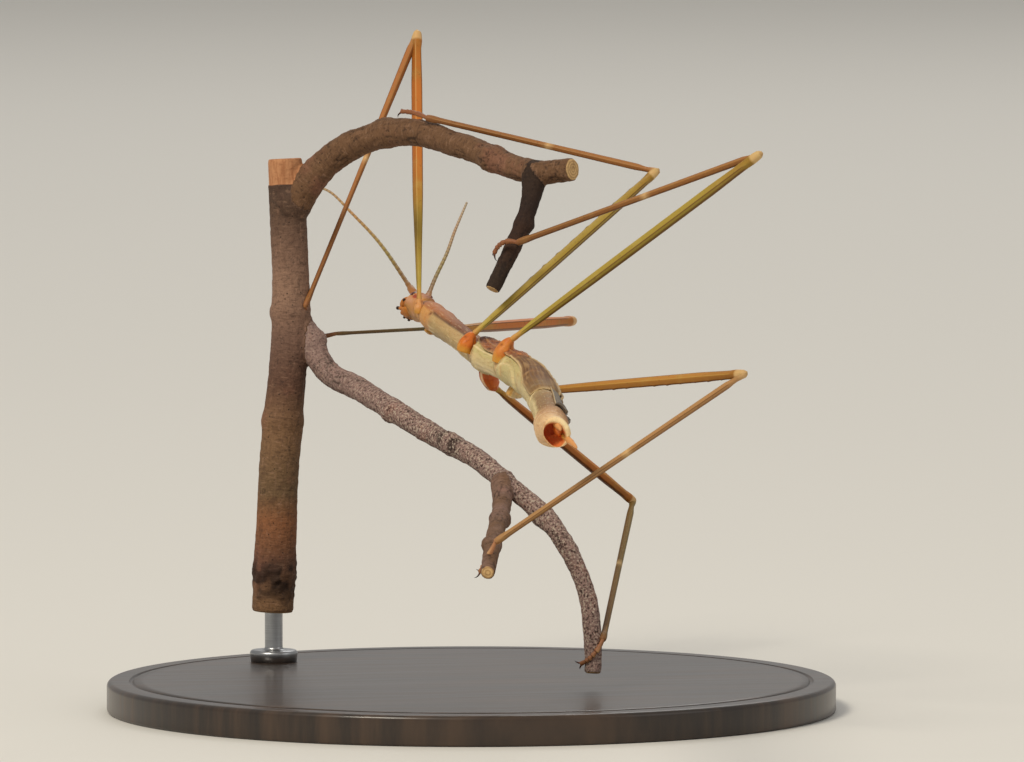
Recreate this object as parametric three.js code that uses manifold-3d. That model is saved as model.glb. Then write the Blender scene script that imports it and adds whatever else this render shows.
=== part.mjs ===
// A slender winged stick insect gripping a forked twig, with the display stand that holds the twig.
// Millimetres, +Z up. The origin is the middle of the stand's underside and the insect heads along +Y.
// The insect has axes of its own: +X to its right, +Y forward and +Z out of its back.
import * as THREE from 'three';
import { mergeVertices } from 'three/addons/utils/BufferGeometryUtils.js';
import Module from 'manifold-3d';

const wasm = await Module();
wasm.setup();

// How the insect hangs: the middle of its middle hips, its climb and its roll to the right.
const HOLD = { at: [-0.4, -5.9, 35.05], climb: 5.6, roll: 65.8 };
const CUT = 0.3;             // thin cut between neighbouring pieces
const BODY_SIDES = 12;
const LEG_SIDES = 8;
const TWIG_SIDES = 9;

// The body's middle line, as [forward, left, out of the back], from the face to the tail.
const SPINE = [
  [33.3, 0, 0.6], [22, 0, 0.6], [11, 0, 0.65], [0, 0, 0.7], [-10.7, 0.4, 1.2], [-15.4, 0.6, 1.25],
  [-24.2, 1.05, 0.8], [-36.5, 2.2, -0.65], [-59.5, 6.6, -3.8], [-72.0, 9.24, -5.5], [-79.3, 10.52, -6.67],
  [-84.3, 11.37, -6.95], [-85.7, 11.6, -7.0],
];

// Width and height of the body at distances behind the face, measured along its middle line.
const GIRTH = [
  [5, 2.2, 2.2], [7, 2.6, 2.6], [8.8, 2.9, 2.8], [10.2, 2.6, 2.7], [12.5, 2.9, 2.9], [16, 2.5, 2.6],
  [24, 2.35, 2.5], [30, 2.7, 2.7], [33.5, 3.2, 2.8], [36, 2.5, 2.4], [40, 2.5, 2.4], [44, 3.1, 2.7],
  [47, 2.8, 2.7], [53, 3.1, 2.9], [70, 3.0, 2.8], [95, 2.7, 2.6], [103, 2.9, 2.8], [109, 3.2, 3.15],
  [113, 3.2, 3.1], [116, 3.05, 2.85], [119.2, 2.85, 2.4],
];

// Lengths of the body along its middle line, each a piece of its own.
const SEGMENTS = [
  { name: 'prothorax', from: 5.0, to: 10.3, rings: 6, finish: 'tan' },
  { name: 'mesothorax', from: 10.6, to: 34.4, rings: 10, finish: 'tan' },
  { name: 'metathorax', from: 34.7, to: 45.3, rings: 7, finish: 'pale' },
  { name: 'median_segment', from: 45.6, to: 53.8, rings: 4, finish: 'pale' },
  { name: 'abdomen_front', from: 54.1, to: 69.5, rings: 6, finish: 'pale' },
  { name: 'abdomen_middle', from: 69.8, to: 95.0, rings: 7, finish: 'tan' },
  { name: 'abdomen_rear', from: 95.3, to: 113.6, rings: 8, finish: 'tan' },
  { name: 'anal_segment', from: 113.9, to: 119.2, rings: 5, finish: 'peach' },
];

// The head's line bends down from the neck to the mouth.
const HEAD_LINE = [[28.4, 0, 0.5], [31.6, 0, 1.0], [33.4, 0, -0.3]];
const HEAD_GIRTH = [
  [0, 1.7, 1.8], [0.16, 2.5, 2.4], [0.4, 2.9, 2.7], [0.62, 2.95, 2.6], [0.82, 2.4, 2.2], [1, 1.6, 1.5],
];
const EYE = { radius: 0.46, at: [31.9, 1.35, 0.65], sides: 10 };
const JAW = { from: [32.2, 0, -0.5], to: [32.7, 0, -1.15], width: 1.6, depth: 1.1 };
const PALP_LENGTH = 0.55;
const ANTENNAE = {
  left: [[33.1, 1.15, 0.75], [43.6, 4.8, 0.9], [52.5, 7.1, 0.5], [59.1, 8.4, 0.2], [65.0, 8.6, -0.5]],
  right: [[32.9, 0.05, 1.7], [38.4, 0.33, 3.95], [44.0, 0.8, 6.7], [51.9, 0.85, 9.5], [62.8, 0.6, 13.3]],
};
const ANTENNA_WIDTH = { base: 0.8, tip: 0.5 };

// Wings folded on the body: places behind the face, how far round each edge comes from the back's
// middle, in degrees, at the root and at the tip, and how late along the wing that changes.
const TEGMEN = { from: 33.5, to: 49.5, root: 104, tip: 96, turning: 3, across: 3 };
const WING_STRIP = { from: 49.8, to: 69.6, root: 100, tip: 128, turning: 1, across: 4 };
const WING_FAN = { from: 66.0, to: 107.0, root: 48, tip: 34, turning: 1, across: 2 };
const WING_THICK = 0.5;
const WING_PARTING = 5;      // degrees left open each side of the back's middle

// Where each cercus starts and ends, as [sideways, up, behind] from the middle of the tail's end.
const CERCI = {
  left: { root: [0.62, 0.25, -0.9], tip: [0.2, 0.3, 1.1] },
  right: { root: [0.65, 0.45, -0.9], tip: [1.95, 0.9, 1.7] },
};
const CERCUS_WIDTH = { base: 0.7, tip: 0.5 };

const SIDES = { left: -1, right: 1 };

// Legs: lengths, and thickness of the femur at its base, middle and end and of the tibia.
const PAIRS = {
  front: { femur: 32.9, tibia: 35, thick: [0.52, 1.04, 1.05, 0.8] },
  middle: { femur: 25.1, tibia: 25, thick: [0.62, 0.88, 0.88, 0.66] },
  hind: { femur: 32.2, tibia: 31, thick: [0.62, 0.92, 0.92, 0.66] },
};

// A hip is [forward, left, up]. A coxa runs from [inward, down] of its hip to a reach along the femur,
// and has a width.
// A direction is [heading, lift] in degrees: heading turns from straight ahead towards the left, and
// lift rises towards the back. A foot is two directions and its length.
const LEGS = [
  {
    side: 'left', pair: 'front', hip: [25.85, 1.35, -0.2], coxa: [0.6, 0.25, 0.8, 1.05],
    femur: [44.3, 24.2], tibia: [-140.2, -42.9], foot: [-35, 6, -17, -25, 5.6],
  },
  {
    side: 'right', pair: 'front', hip: [25.3, -1.35, 0], coxa: [0.6, 0.3, 0.8, 1.05],
    femur: [-23.9, 31.1], tibia: [144.8, -46.4], foot: [77.5, -78.4, 83.5, -73.7, 4.6],
  },
  {
    side: 'left', pair: 'middle', hip: [1.3, 2.15, 0], coxa: [1.1, 0.9, 0.7, 1.7],
    femur: [63.8, 73.0], tibia: [38.5, -42.7], foot: [16, -13, 3, -26, 4.6],
  },
  {
    side: 'right', pair: 'middle', hip: [0.8, -2.55, 0], coxa: [1.2, 0.3, 1.4, 1.6],
    femur: [-60.8, 23.7], tibia: [-165.1, -26.2], foot: [-130, -46, -14, -49, 4],
  },
  {
    side: 'left', pair: 'hind', hip: [-9.5, 2.65, 1.65], coxa: [1.5, 1.1, 0.9, 1.8],
    femur: [142.0, 61.6], tibia: [-7.8, -45.1], foot: [46, -41, -67, -36, 3.8],
  },
  {
    side: 'right', pair: 'hind', hip: [-10.9, -1.9, 0.6], coxa: [0.7, 0.4, 0.9, 1.4],
    femur: [-178.0, 32.3], tibia: [-30.7, -58.6], foot: [-145, -45, -35, -22, 4.6],
  },
];

// Twigs of the perch, with the radius at each end, as points in the stand's frame.
const TWIGS = [
  {
    name: 'perch_stem',
    points: [[-15.5, 23.0, 8], [-15.15, 23.0, 15.8], [-14.8, 23.15, 22.5], [-14.2, 23.2, 29.0],
      [-13.55, 23.35, 36.5], [-13.55, 23.5, 42], [-13.95, 24.2, 53.5]],
    radii: [2.1, 1.8],
  },
  {
    name: 'perch_arm',
    points: [[-13.6, 23.3, 38.2], [-12.2, 23.0, 36.2], [-10.4, 21.0, 32.4], [-7.65, 16.5, 30.6],
      [-5.0, 10.5, 28.65], [-2.4, 4.5, 26.7], [0.25, -1.0, 25.0], [2.1, -5.2, 23.1],
      [6.2, -10.4, 18.6], [9.0, -11.8, 12.5], [9.6, -12.2, 6.2], [9.5, -12.4, 4.6]],
    radii: [1.3, 0.85],
  },
  {
    name: 'perch_branch',
    points: [[-13.9, 23.8, 48.5], [-9.4, 21.2, 53.9], [-4.1, 15.1, 56.5], [0.7, 7.4, 55.4], [5.8, -0.8, 53.2],
      [9.2, -4.8, 53.6]],
    radii: [1.5, 1.15],
  },
  {
    name: 'perch_twig',
    points: [[6.2, -1.6, 53.6], [4.9, -3.6, 49.6], [2.6, -5.1, 45.1], [0.8, -5.9, 41.9]],
    radii: [0.95, 0.75],
  },
  {
    name: 'perch_shoot',
    points: [[2.1, -5.2, 23.1], [0.9, -10, 20.9], [-1.4, -18, 19.2], [-4.15, -28.1, 17.5],
      [-5.4, -32.8, 16.5]],
    radii: [0.95, 0.72],
  },
];
const TWIG_RINGS = 10;

const BASE = { radius: 36, height: 3, bevel: 0.5, sides: 36 };
const ROD = { at: [-15.4, 23.0], radius: 0.9, top: 12.5, collar: 2.4, collarHeight: 1.2, sides: 16 };

const FINISHES = {
  tan: { color: 0xb99c6c, roughness: 0.6, metalness: 0 },
  pale: { color: 0xc4bb87, roughness: 0.6, metalness: 0 },
  peach: { color: 0xd99b6a, roughness: 0.55, metalness: 0 },
  orange: { color: 0xcf7430, roughness: 0.5, metalness: 0 },
  olive: { color: 0x9c9140, roughness: 0.5, metalness: 0 },
  russet: { color: 0x9a6243, roughness: 0.55, metalness: 0 },
  wing: { color: 0x9b7d57, roughness: 0.6, metalness: 0 },
  dark: { color: 0x2a1a14, roughness: 0.25, metalness: 0 },
  bark: { color: 0x8a7263, roughness: 0.85, metalness: 0 },
  lacquer: { color: 0x2e2b29, roughness: 0.45, metalness: 0 },
  steel: { color: 0x9a9c9e, roughness: 0.35, metalness: 1 },
};

const BACK = new THREE.Vector3(0, 0, 1);
const AHEAD = new THREE.Vector3(0, 1, 0);

// A place given as [forward, left, up] in the insect's own axes.
function place([forward, left, up]) {
  return new THREE.Vector3(-left, forward, up);
}

// A unit direction from a heading towards the left and a lift towards the back, in degrees.
function aim(heading, lift) {
  const turn = THREE.MathUtils.degToRad(heading);
  const rise = THREE.MathUtils.degToRad(lift);
  return new THREE.Vector3(-Math.sin(turn) * Math.cos(rise), Math.cos(turn) * Math.cos(rise), Math.sin(rise));
}

// Straight mix of the columns of a table whose first column is the place.
function mix(table, at) {
  const last = table.length - 1;
  let row = 0;
  while (row < last - 1 && at > table[row + 1][0]) {
    row += 1;
  }
  const [low, high] = [table[row], table[row + 1]];
  const share = THREE.MathUtils.clamp((at - low[0]) / (high[0] - low[0]), 0, 1);
  return low.slice(1).map((value, column) => THREE.MathUtils.lerp(value, high[column + 1], share));
}

// Right-hand and top directions across a line that runs along the given tangent.
function across(tangent, up) {
  const side = new THREE.Vector3().crossVectors(tangent, up).normalize();
  const top = new THREE.Vector3().crossVectors(side, tangent);
  return { side, top };
}

// A closed mesh as a solid: corners shared, empty triangles dropped, faces turned outwards.
function solid(geometry) {
  geometry.deleteAttribute('normal');
  geometry.deleteAttribute('uv');
  const shared = mergeVertices(geometry, 1e-4);
  const corners = shared.attributes.position.array;
  const faces = [];
  let volume = 0;
  const [a, b, c] = [new THREE.Vector3(), new THREE.Vector3(), new THREE.Vector3()];
  for (let index = 0; index < shared.index.count; index += 3) {
    const [i, j, k] = shared.index.array.slice(index, index + 3);
    if (i !== j && j !== k && k !== i) {
      faces.push([i, j, k]);
      a.fromArray(corners, 3 * i);
      b.fromArray(corners, 3 * j);
      c.fromArray(corners, 3 * k);
      volume += a.dot(b.cross(c));
    }
  }
  const outward = volume < 0 ? faces.map(([i, j, k]) => [i, k, j]) : faces;
  return new wasm.Manifold(new wasm.Mesh({
    numProp: 3,
    vertProperties: new Float32Array(corners),
    triVerts: new Uint32Array(outward.flat()),
  }));
}

// A tube carried along a curve. Stations are [share of the length, width, height]; the ends are flat.
// Growing it by a margin moves its wall and both ends out.
function sleeve(curve, stations, sides, margin = 0, up = BACK) {
  const shares = stations.map(([share]) => share);
  const outline = [new THREE.Vector2(0, shares[0])];
  shares.forEach((share) => outline.push(new THREE.Vector2(1, share)));
  outline.push(new THREE.Vector2(0, shares.at(-1)));
  const geometry = new THREE.LatheGeometry(outline, sides);
  const corners = geometry.attributes.position;
  const last = stations.length - 1;
  const frames = stations.map(([share]) => {
    const tangent = curve.getTangentAt(share);
    return { at: curve.getPointAt(share), tangent, ...across(tangent, up) };
  });
  for (let index = 0; index < corners.count; index += 1) {
    const ring = THREE.MathUtils.clamp(index % outline.length - 1, 0, last);
    const [, width, height] = stations[ring];
    const { at, tangent, side, top } = frames[ring];
    const point = at.clone();
    point.addScaledVector(side, corners.getX(index) * (width / 2 + margin));
    point.addScaledVector(top, corners.getZ(index) * (height / 2 + margin));
    const push = (ring === last ? margin : 0) - (ring === 0 ? margin : 0);
    point.addScaledVector(tangent, push);
    corners.setXYZ(index, point.x, point.y, point.z);
  }
  return solid(geometry);
}

function ball(at, radius, sides) {
  const geometry = new THREE.SphereGeometry(radius, sides, Math.round(sides * 0.6));
  geometry.translate(at.x, at.y, at.z);
  return solid(geometry);
}

function carve(target, cutters) {
  return cutters.reduce((rest, cutter) => rest.subtract(cutter), target);
}

function join(pieces) {
  return pieces.reduce((whole, piece) => whole.add(piece));
}

// The named mesh of a solid in one of the finishes.
function piece(name, finish, shape) {
  const found = shape.getMesh();
  const geometry = new THREE.BufferGeometry();
  geometry.setAttribute('position', new THREE.BufferAttribute(new Float32Array(found.vertProperties), 3));
  geometry.setIndex(new THREE.BufferAttribute(new Uint32Array(found.triVerts), 1));
  geometry.computeVertexNormals();
  const mesh = new THREE.Mesh(geometry, new THREE.MeshStandardMaterial(FINISHES[finish]));
  mesh.name = name;
  return mesh;
}

const spine = new THREE.CatmullRomCurve3(SPINE.map(place), false, 'centripetal');
const spineLength = spine.getLength();

// A length of the body between two places on its middle line.
function bodyLength({ from, to, rings }) {
  const stations = [];
  for (let ring = 0; ring <= rings; ring += 1) {
    const along = THREE.MathUtils.lerp(from, to, ring / rings);
    stations.push([along / spineLength, ...mix(GIRTH, along)]);
  }
  return sleeve(spine, stations, BODY_SIDES);
}

// A plate wrapped over the body on one side, from the back's middle down to its own lower edge.
function wing({ from, to, root, tip, turning, across: columns }, sign) {
  const rings = Math.round((to - from) / 4);
  const geometry = new THREE.BoxGeometry(1, 1, 1, columns, rings, 1);
  const corners = geometry.attributes.position;
  for (let index = 0; index < corners.count; index += 1) {
    const share = corners.getY(index) + 0.5;
    const layer = corners.getZ(index) + 0.5;
    const along = THREE.MathUtils.lerp(from, to, share);
    const edge = THREE.MathUtils.lerp(root, tip, share ** turning);
    const wrap = corners.getX(index) + 0.5;
    const turn = THREE.MathUtils.degToRad(THREE.MathUtils.lerp(WING_PARTING, edge, wrap));
    const [width, height] = mix(GIRTH, along);
    const clear = CUT + layer * WING_THICK;
    const tangent = spine.getTangentAt(along / spineLength);
    const { side, top } = across(tangent, BACK);
    const point = spine.getPointAt(along / spineLength);
    point.addScaledVector(side, -sign * Math.sin(turn) * (width / 2 + clear));
    point.addScaledVector(top, Math.cos(turn) * (height / 2 + clear));
    corners.setXYZ(index, point.x, point.y, point.z);
  }
  return solid(geometry);
}

function head(margin = 0) {
  const line = new THREE.QuadraticBezierCurve3(...HEAD_LINE.map(place));
  return sleeve(line, HEAD_GIRTH, BODY_SIDES, margin);
}

// Jaws with two pairs of short palps under the face.
function mouthparts(margin = 0) {
  const [root, chin] = [place(JAW.from), place(JAW.to)];
  const { width, depth } = JAW;
  const stations = [[0, width, depth], [0.6, width, depth], [1, width * 0.7, depth * 0.7]];
  const jaw = sleeve(new THREE.LineCurve3(root, chin), stations, LEG_SIDES, margin, AHEAD);
  const palps = [-1, 1].flatMap((sign) => [0.35, 0.8].map((apart) => {
    const start = chin.clone().add(new THREE.Vector3(sign * apart * 0.8, -0.1, 0.35));
    const lean = new THREE.Vector3(sign * apart, -0.25, -1).normalize();
    const end = start.clone().addScaledVector(lean, PALP_LENGTH);
    return sleeve(new THREE.LineCurve3(start, end), [[0, 0.5, 0.5], [1, 0.5, 0.5]], 6, margin, AHEAD);
  }));
  return join([jaw, ...palps]);
}

function eye(sign, margin = 0) {
  const [forward, sideways, up] = EYE.at;
  return ball(new THREE.Vector3(sign * sideways, forward, up), EYE.radius + margin, EYE.sides);
}

function antenna(points, margin = 0) {
  const line = new THREE.CatmullRomCurve3(points.map(place));
  const { base, tip } = ANTENNA_WIDTH;
  const stations = [[0, base, base], [0.04, base, base], [0.07, tip * 1.1, tip * 1.1]];
  const count = 10;
  for (let step = 1; step <= count; step += 1) {
    const width = THREE.MathUtils.lerp(tip * 1.1, tip, step / count);
    stations.push([0.07 + 0.93 * step / count, width, width]);
  }
  return sleeve(line, stations, 6, margin);
}

function cercus(name, margin = 0) {
  const end = SEGMENTS.at(-1).to / spineLength;
  const tangent = spine.getTangentAt(end);
  const { side, top } = across(tangent, BACK);
  const [start, finish] = [CERCI[name].root, CERCI[name].tip].map(([sideways, up, behind]) => {
    const point = spine.getPointAt(end).addScaledVector(side, -SIDES[name] * sideways);
    return point.addScaledVector(top, up).addScaledVector(tangent, behind);
  });
  const { base, tip } = CERCUS_WIDTH;
  const stations = [[0, base, base], [0.6, base, base], [1, tip, tip]];
  return sleeve(new THREE.LineCurve3(start, finish), stations, 6, margin);
}

// Places and directions of one leg, worked out from its pair's sizes and its own angles.
function pose(leg) {
  const pair = PAIRS[leg.pair];
  const sign = leg.side === 'left' ? 1 : -1;
  const hip = place(leg.hip);
  const thigh = aim(...leg.femur);
  const knee = hip.clone().addScaledVector(thigh, pair.femur);
  const shin = aim(...leg.tibia);
  const ankle = knee.clone().addScaledVector(shin, pair.tibia);
  const [heading, lift, toeHeading, toeLift, length] = leg.foot;
  const bend = ankle.clone().addScaledVector(aim(heading, lift), length / 2);
  const toe = bend.clone().addScaledVector(aim(toeHeading, toeLift), length / 2);
  return { pair, sign, hip, thigh, knee, shin, ankle, bend, toe };
}

// The four pieces of a leg as solids, each grown by a margin where it is to cut its neighbour.
function legPieces(leg, margin = 0) {
  const { pair, sign, hip, thigh, knee, shin, ankle, bend, toe } = pose(leg);
  const [base, belly, end, shank] = pair.thick;
  const [inward, down, reach, width] = leg.coxa;
  const bendWay = new THREE.Vector3().crossVectors(thigh, shin).normalize();
  const socket = hip.clone().add(new THREE.Vector3(sign * inward, 0, -down));
  const rim = hip.clone().addScaledVector(thigh, reach);
  const coxaLine = new THREE.QuadraticBezierCurve3(socket, hip, rim);
  const coxa = sleeve(coxaLine, [
    [0, width * 0.75, width * 0.75], [0.25, width, width], [0.5, width, width],
    [0.75, width * 0.76, width * 0.76], [1, base + 0.12, base + 0.12],
  ], LEG_SIDES, margin, AHEAD);
  const femurLine = new THREE.LineCurve3(hip, knee);
  const root = (reach + CUT) / pair.femur;
  const femur = sleeve(femurLine, [
    [root, base, base], [0.16, base * 1.12, base * 1.18], [0.45, belly * 0.94, belly * 1.06],
    [0.8, end, end * 1.08], [0.95, end * 0.86, end * 0.95], [0.985, end * 1.02, end * 1.08],
    [1, end * 0.8, end * 0.8],
  ], LEG_SIDES, margin, bendWay);
  const elbow = ball(knee, 0.5 + margin, 8);
  const tibia = sleeve(new THREE.LineCurve3(knee, ankle), [
    [0, shank * 1.15, shank * 1.15], [0.06, shank * 1.08, shank * 1.1], [0.5, shank * 0.94, shank],
    [0.96, shank * 0.92, shank * 0.96], [0.99, shank * 1.12, shank * 1.12],
  ], LEG_SIDES, margin, bendWay);
  const footLine = new THREE.QuadraticBezierCurve3(ankle, bend, toe);
  const tarsus = sleeve(footLine, [
    [0, 0.56, 0.56], [0.35, 0.5, 0.5], [0.6, 0.52, 0.52], [0.85, 0.5, 0.5], [1, 0.62, 0.5],
  ], LEG_SIDES, margin, bendWay);
  return { coxa, femur, tibia: join([elbow, tibia]), tarsus };
}

function twig({ points, radii }, margin = 0) {
  const line = new THREE.CatmullRomCurve3(points.map((point) => new THREE.Vector3(...point)));
  const stations = [];
  for (let ring = 0; ring <= TWIG_RINGS; ring += 1) {
    const share = ring / TWIG_RINGS;
    const width = 2 * THREE.MathUtils.lerp(radii[0], radii[1], share);
    stations.push([share, width, width]);
  }
  return sleeve(line, stations, TWIG_SIDES, margin, AHEAD);
}

// A turned solid from an outline of [radius, height] pairs that starts and ends on its axis.
function turned(outline, sides) {
  const profile = outline.map(([radius, height]) => new THREE.Vector2(radius, height));
  const shape = new THREE.LatheGeometry(profile, sides);
  shape.rotateX(Math.PI / 2);
  return shape;
}

function standBase() {
  const { radius, height, bevel, sides } = BASE;
  return solid(turned([
    [0, 0], [radius - bevel, 0], [radius, bevel],
    [radius, height - bevel], [radius - bevel, height], [0, height],
  ], sides));
}

function standRod(margin = 0) {
  const { at, radius, top, collar, collarHeight, sides } = ROD;
  const foot = BASE.height + CUT - margin;
  const step = BASE.height + collarHeight + margin;
  const shape = turned([
    [0, foot], [collar + margin, foot], [collar + margin, step],
    [radius + margin, step], [radius + margin, top + margin], [0, top + margin],
  ], sides);
  shape.translate(at[0], at[1], 0);
  return solid(shape);
}

const insect = new THREE.Group();
insect.position.set(...HOLD.at);
insect.rotation.set(THREE.MathUtils.degToRad(HOLD.climb), THREE.MathUtils.degToRad(HOLD.roll), 0, 'XYZ');
insect.updateMatrixWorld(true);

const grown = LEGS.map((leg) => legPieces(leg, CUT));
const hipCutters = grown.flatMap(({ coxa, femur }) => [coxa, femur]);

LEGS.forEach((leg, index) => {
  const own = legPieces(leg);
  const suffix = `${leg.side}_${leg.pair}`;
  const thigh = leg.pair === 'front' ? 'orange' : 'olive';
  insect.add(
    piece(`coxa_${suffix}`, 'orange', carve(own.coxa, [grown[index].femur])),
    piece(`femur_${suffix}`, thigh, carve(own.femur, [grown[index].tibia])),
    piece(`tibia_${suffix}`, 'russet', carve(own.tibia, [grown[index].tarsus])),
    piece(`tarsus_${suffix}`, 'russet', own.tarsus),
  );
});

const bodyCutters = [...hipCutters, head(CUT), ...Object.keys(SIDES).map((side) => cercus(side, CUT))];
SEGMENTS.forEach((segment) => {
  insect.add(piece(segment.name, segment.finish, carve(bodyLength(segment), bodyCutters)));
});

const faceCutters = Object.values(SIDES).map((sign) => eye(sign, CUT));
faceCutters.push(...Object.values(ANTENNAE).map((points) => antenna(points, CUT)), mouthparts(CUT));
insect.add(piece('head', 'peach', carve(head(), [...faceCutters, ...hipCutters])));
insect.add(piece('mouthparts', 'peach', mouthparts()));
Object.entries(SIDES).forEach(([side, sign]) => {
  insect.add(
    piece(`eye_${side}`, 'dark', eye(sign)),
    piece(`antenna_${side}`, 'olive', antenna(ANTENNAE[side])),
    piece(`tegmen_${side}`, 'russet', carve(wing(TEGMEN, sign), hipCutters)),
    piece(`hindwing_${side}`, 'wing', carve(wing(WING_STRIP, sign).add(wing(WING_FAN, sign)), hipCutters)),
    piece(`cercus_${side}`, 'orange', cercus(side)),
  );
});

// The perch. Each twig is cut by the stem or branch that it grows from and by the feet that grip it.
const matrix = Array.from(insect.matrixWorld.elements);
const feet = grown.flatMap(({ tibia, tarsus }) => [tibia, tarsus]).map((shape) => shape.transform(matrix));
const perch = new THREE.Group();
const grownTwigs = Object.fromEntries(TWIGS.map((shape) => [shape.name, twig(shape, CUT)]));
const PARENTS = {
  perch_stem: [],
  perch_arm: ['perch_stem'],
  perch_branch: ['perch_stem'],
  perch_twig: ['perch_branch'],
  perch_shoot: ['perch_arm'],
};
TWIGS.forEach((shape) => {
  const cutters = PARENTS[shape.name].map((name) => grownTwigs[name]);
  const rods = shape.name === 'perch_stem' ? [standRod(CUT)] : [];
  perch.add(piece(shape.name, 'bark', carve(twig(shape), [...cutters, ...rods, ...feet])));
});

const stand = new THREE.Group();
stand.add(piece('stand_base', 'lacquer', standBase()), piece('stand_rod', 'steel', standRod()));

const model = new THREE.Group();
model.add(insect, perch, stand);

export default model;
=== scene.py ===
"""A slender winged stick insect gripping a forked cut twig, on a small display stand.

Tables of places and sizes are in millimetres. The insect's own axes are +X to its right, +Y forward
and +Z out of its back, and its places are written [forward, left, out of the back].
"""
import math
from collections import namedtuple

import bpy
import numpy as np
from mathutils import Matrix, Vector


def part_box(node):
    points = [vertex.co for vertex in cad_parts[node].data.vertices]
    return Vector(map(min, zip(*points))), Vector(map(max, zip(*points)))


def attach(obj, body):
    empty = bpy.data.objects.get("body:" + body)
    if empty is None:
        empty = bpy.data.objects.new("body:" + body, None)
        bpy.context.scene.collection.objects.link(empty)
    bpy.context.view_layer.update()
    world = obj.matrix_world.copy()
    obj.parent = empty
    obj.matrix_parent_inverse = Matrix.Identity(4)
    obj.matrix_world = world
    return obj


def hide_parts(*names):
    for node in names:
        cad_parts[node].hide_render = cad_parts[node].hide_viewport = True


bl_info = {
    "name": "Stick Insect on a Twig",
    "version": (1, 0, 0),
    "blender": (4, 5, 0),
    "location": "View3D > Sidebar > Stick Insect",
    "description": "Builds a life-size winged stick insect on a cut twig and a display stand",
    "category": "Object",
}

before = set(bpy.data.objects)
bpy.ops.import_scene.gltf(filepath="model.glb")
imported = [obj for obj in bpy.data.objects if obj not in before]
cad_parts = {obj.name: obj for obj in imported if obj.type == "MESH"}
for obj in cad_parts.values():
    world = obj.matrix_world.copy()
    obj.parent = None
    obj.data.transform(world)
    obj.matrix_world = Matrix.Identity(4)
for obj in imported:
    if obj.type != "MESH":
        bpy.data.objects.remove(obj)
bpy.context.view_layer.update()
MM = 0.001
TURN = 2 * math.pi

# How the insect hangs: the middle of its middle hips, its climb and its roll to the right, in degrees.
HOLD_AT = (-0.4, -5.9, 35.05)
HOLD_CLIMB = 5.6
HOLD_ROLL = 65.8

SPINE = (
    (33.3, 0, 0.6), (22, 0, 0.6), (11, 0, 0.65), (0, 0, 0.7), (-10.7, 0.4, 1.2), (-15.4, 0.6, 1.25),
    (-24.2, 1.05, 0.8), (-36.5, 2.2, -0.65), (-59.5, 6.6, -3.8), (-72.0, 9.24, -5.5), (-79.3, 10.52, -6.67),
    (-84.3, 11.37, -6.95), (-85.7, 11.6, -7.0),
)
# Distance behind the face, width and height of the body.
GIRTH = np.array((
    (4.2, 1.5, 1.5), (5, 2.2, 2.2), (7, 2.6, 2.6), (8.8, 2.9, 2.8), (10.2, 2.6, 2.7), (12.5, 2.9, 2.9),
    (16, 2.5, 2.6), (24, 2.35, 2.5), (30, 2.7, 2.7), (33.5, 3.1, 2.8), (36, 2.6, 2.5), (40, 2.6, 2.5),
    (44, 3.0, 2.7), (47, 2.8, 2.7), (53, 3.1, 2.9), (70, 3.0, 2.8), (95, 2.7, 2.6), (103, 2.9, 2.8),
    (109, 3.15, 3.1), (113, 3.15, 3.05), (116, 3.0, 2.8), (119.2, 2.85, 2.4),
))
# Where the plates of the body meet, behind the face, how deep each seam is and how pale its rim is.
SEAMS = np.array((
    (10.5, 0.5, 0.0), (34.5, 0.6, 0.1), (45.4, 0.6, 0.3), (54.0, 0.2, 0.0), (62.0, 0.2, 0.0),
    (69.7, 0.7, 0.8), (79.4, 0.4, 0.3), (88.0, 0.3, 0.2), (96.3, 0.3, 0.2), (103.2, 0.3, 0.2),
    (109.2, 0.4, 0.3), (113.9, 0.5, 0.5),
))
TAIL_END = 119.2
# Rows past the tail's rim, which turn inwards to make a cup: how far each lies from the rim along the
# body, and its share of the body's radius.
CUP_ROWS = np.array((
    (0.0, 1.0), (0.12, 0.98), (0.2, 0.94), (0.22, 0.89), (0.16, 0.84), (0.0, 0.79), (-0.3, 0.76),
    (-0.75, 0.72), (-1.2, 0.62), (-1.55, 0.45), (-1.75, 0.22), (-1.8, 0.05),
))
# How far the cup lies to the left of the tail's middle, and above it.
CUP_SHIFT = (-0.17, -0.32)

HEAD_LINE = ((28.4, 0, 0.5), (31.6, 0, 1.0), (33.4, 0, -0.3))
HEAD_GIRTH = np.array((
    (0, 1.7, 1.8), (0.16, 2.5, 2.4), (0.4, 2.9, 2.7), (0.62, 2.95, 2.6), (0.82, 2.4, 2.2), (1, 1.6, 1.5),
))
EYE_AT = (31.75, 1.24, 0.55)
EYE_RADIUS = 0.45
# Palps: points along each and its radius.
PALPS = (
    (((32.1, 0.5, -0.3), (32.35, 0.8, -0.45), (32.5, 1.0, -0.5), (32.65, 1.2, -0.5)), 0.17),
    (((32.0, 0.25, -0.8), (32.4, 0.4, -1.1), (32.7, 0.5, -1.3), (32.95, 0.55, -1.5)), 0.2),
    (((32.0, -0.25, -0.8), (32.3, -0.42, -1.0), (32.5, -0.55, -1.1), (32.7, -0.62, -1.25)), 0.16),
    (((32.1, -0.5, -0.4), (32.35, -0.8, -0.65), (32.5, -0.98, -0.82), (32.6, -1.12, -0.95)), 0.16),
)
OCELLI = ((32.1, 0.0, 2.02), (31.7, 0.32, 2.08), (31.7, -0.32, 2.08))

ANTENNAE = {
    "left": ((33.1, 1.15, 0.75), (43.6, 4.8, 0.9), (52.5, 7.1, 0.5), (59.1, 8.4, 0.2), (65.0, 8.6, -0.5)),
    "right": ((32.9, 0.05, 1.7), (38.4, 0.33, 3.95), (44.0, 0.8, 6.7), (51.9, 0.85, 9.5), (62.8, 0.6, 13.3)),
}

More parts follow.
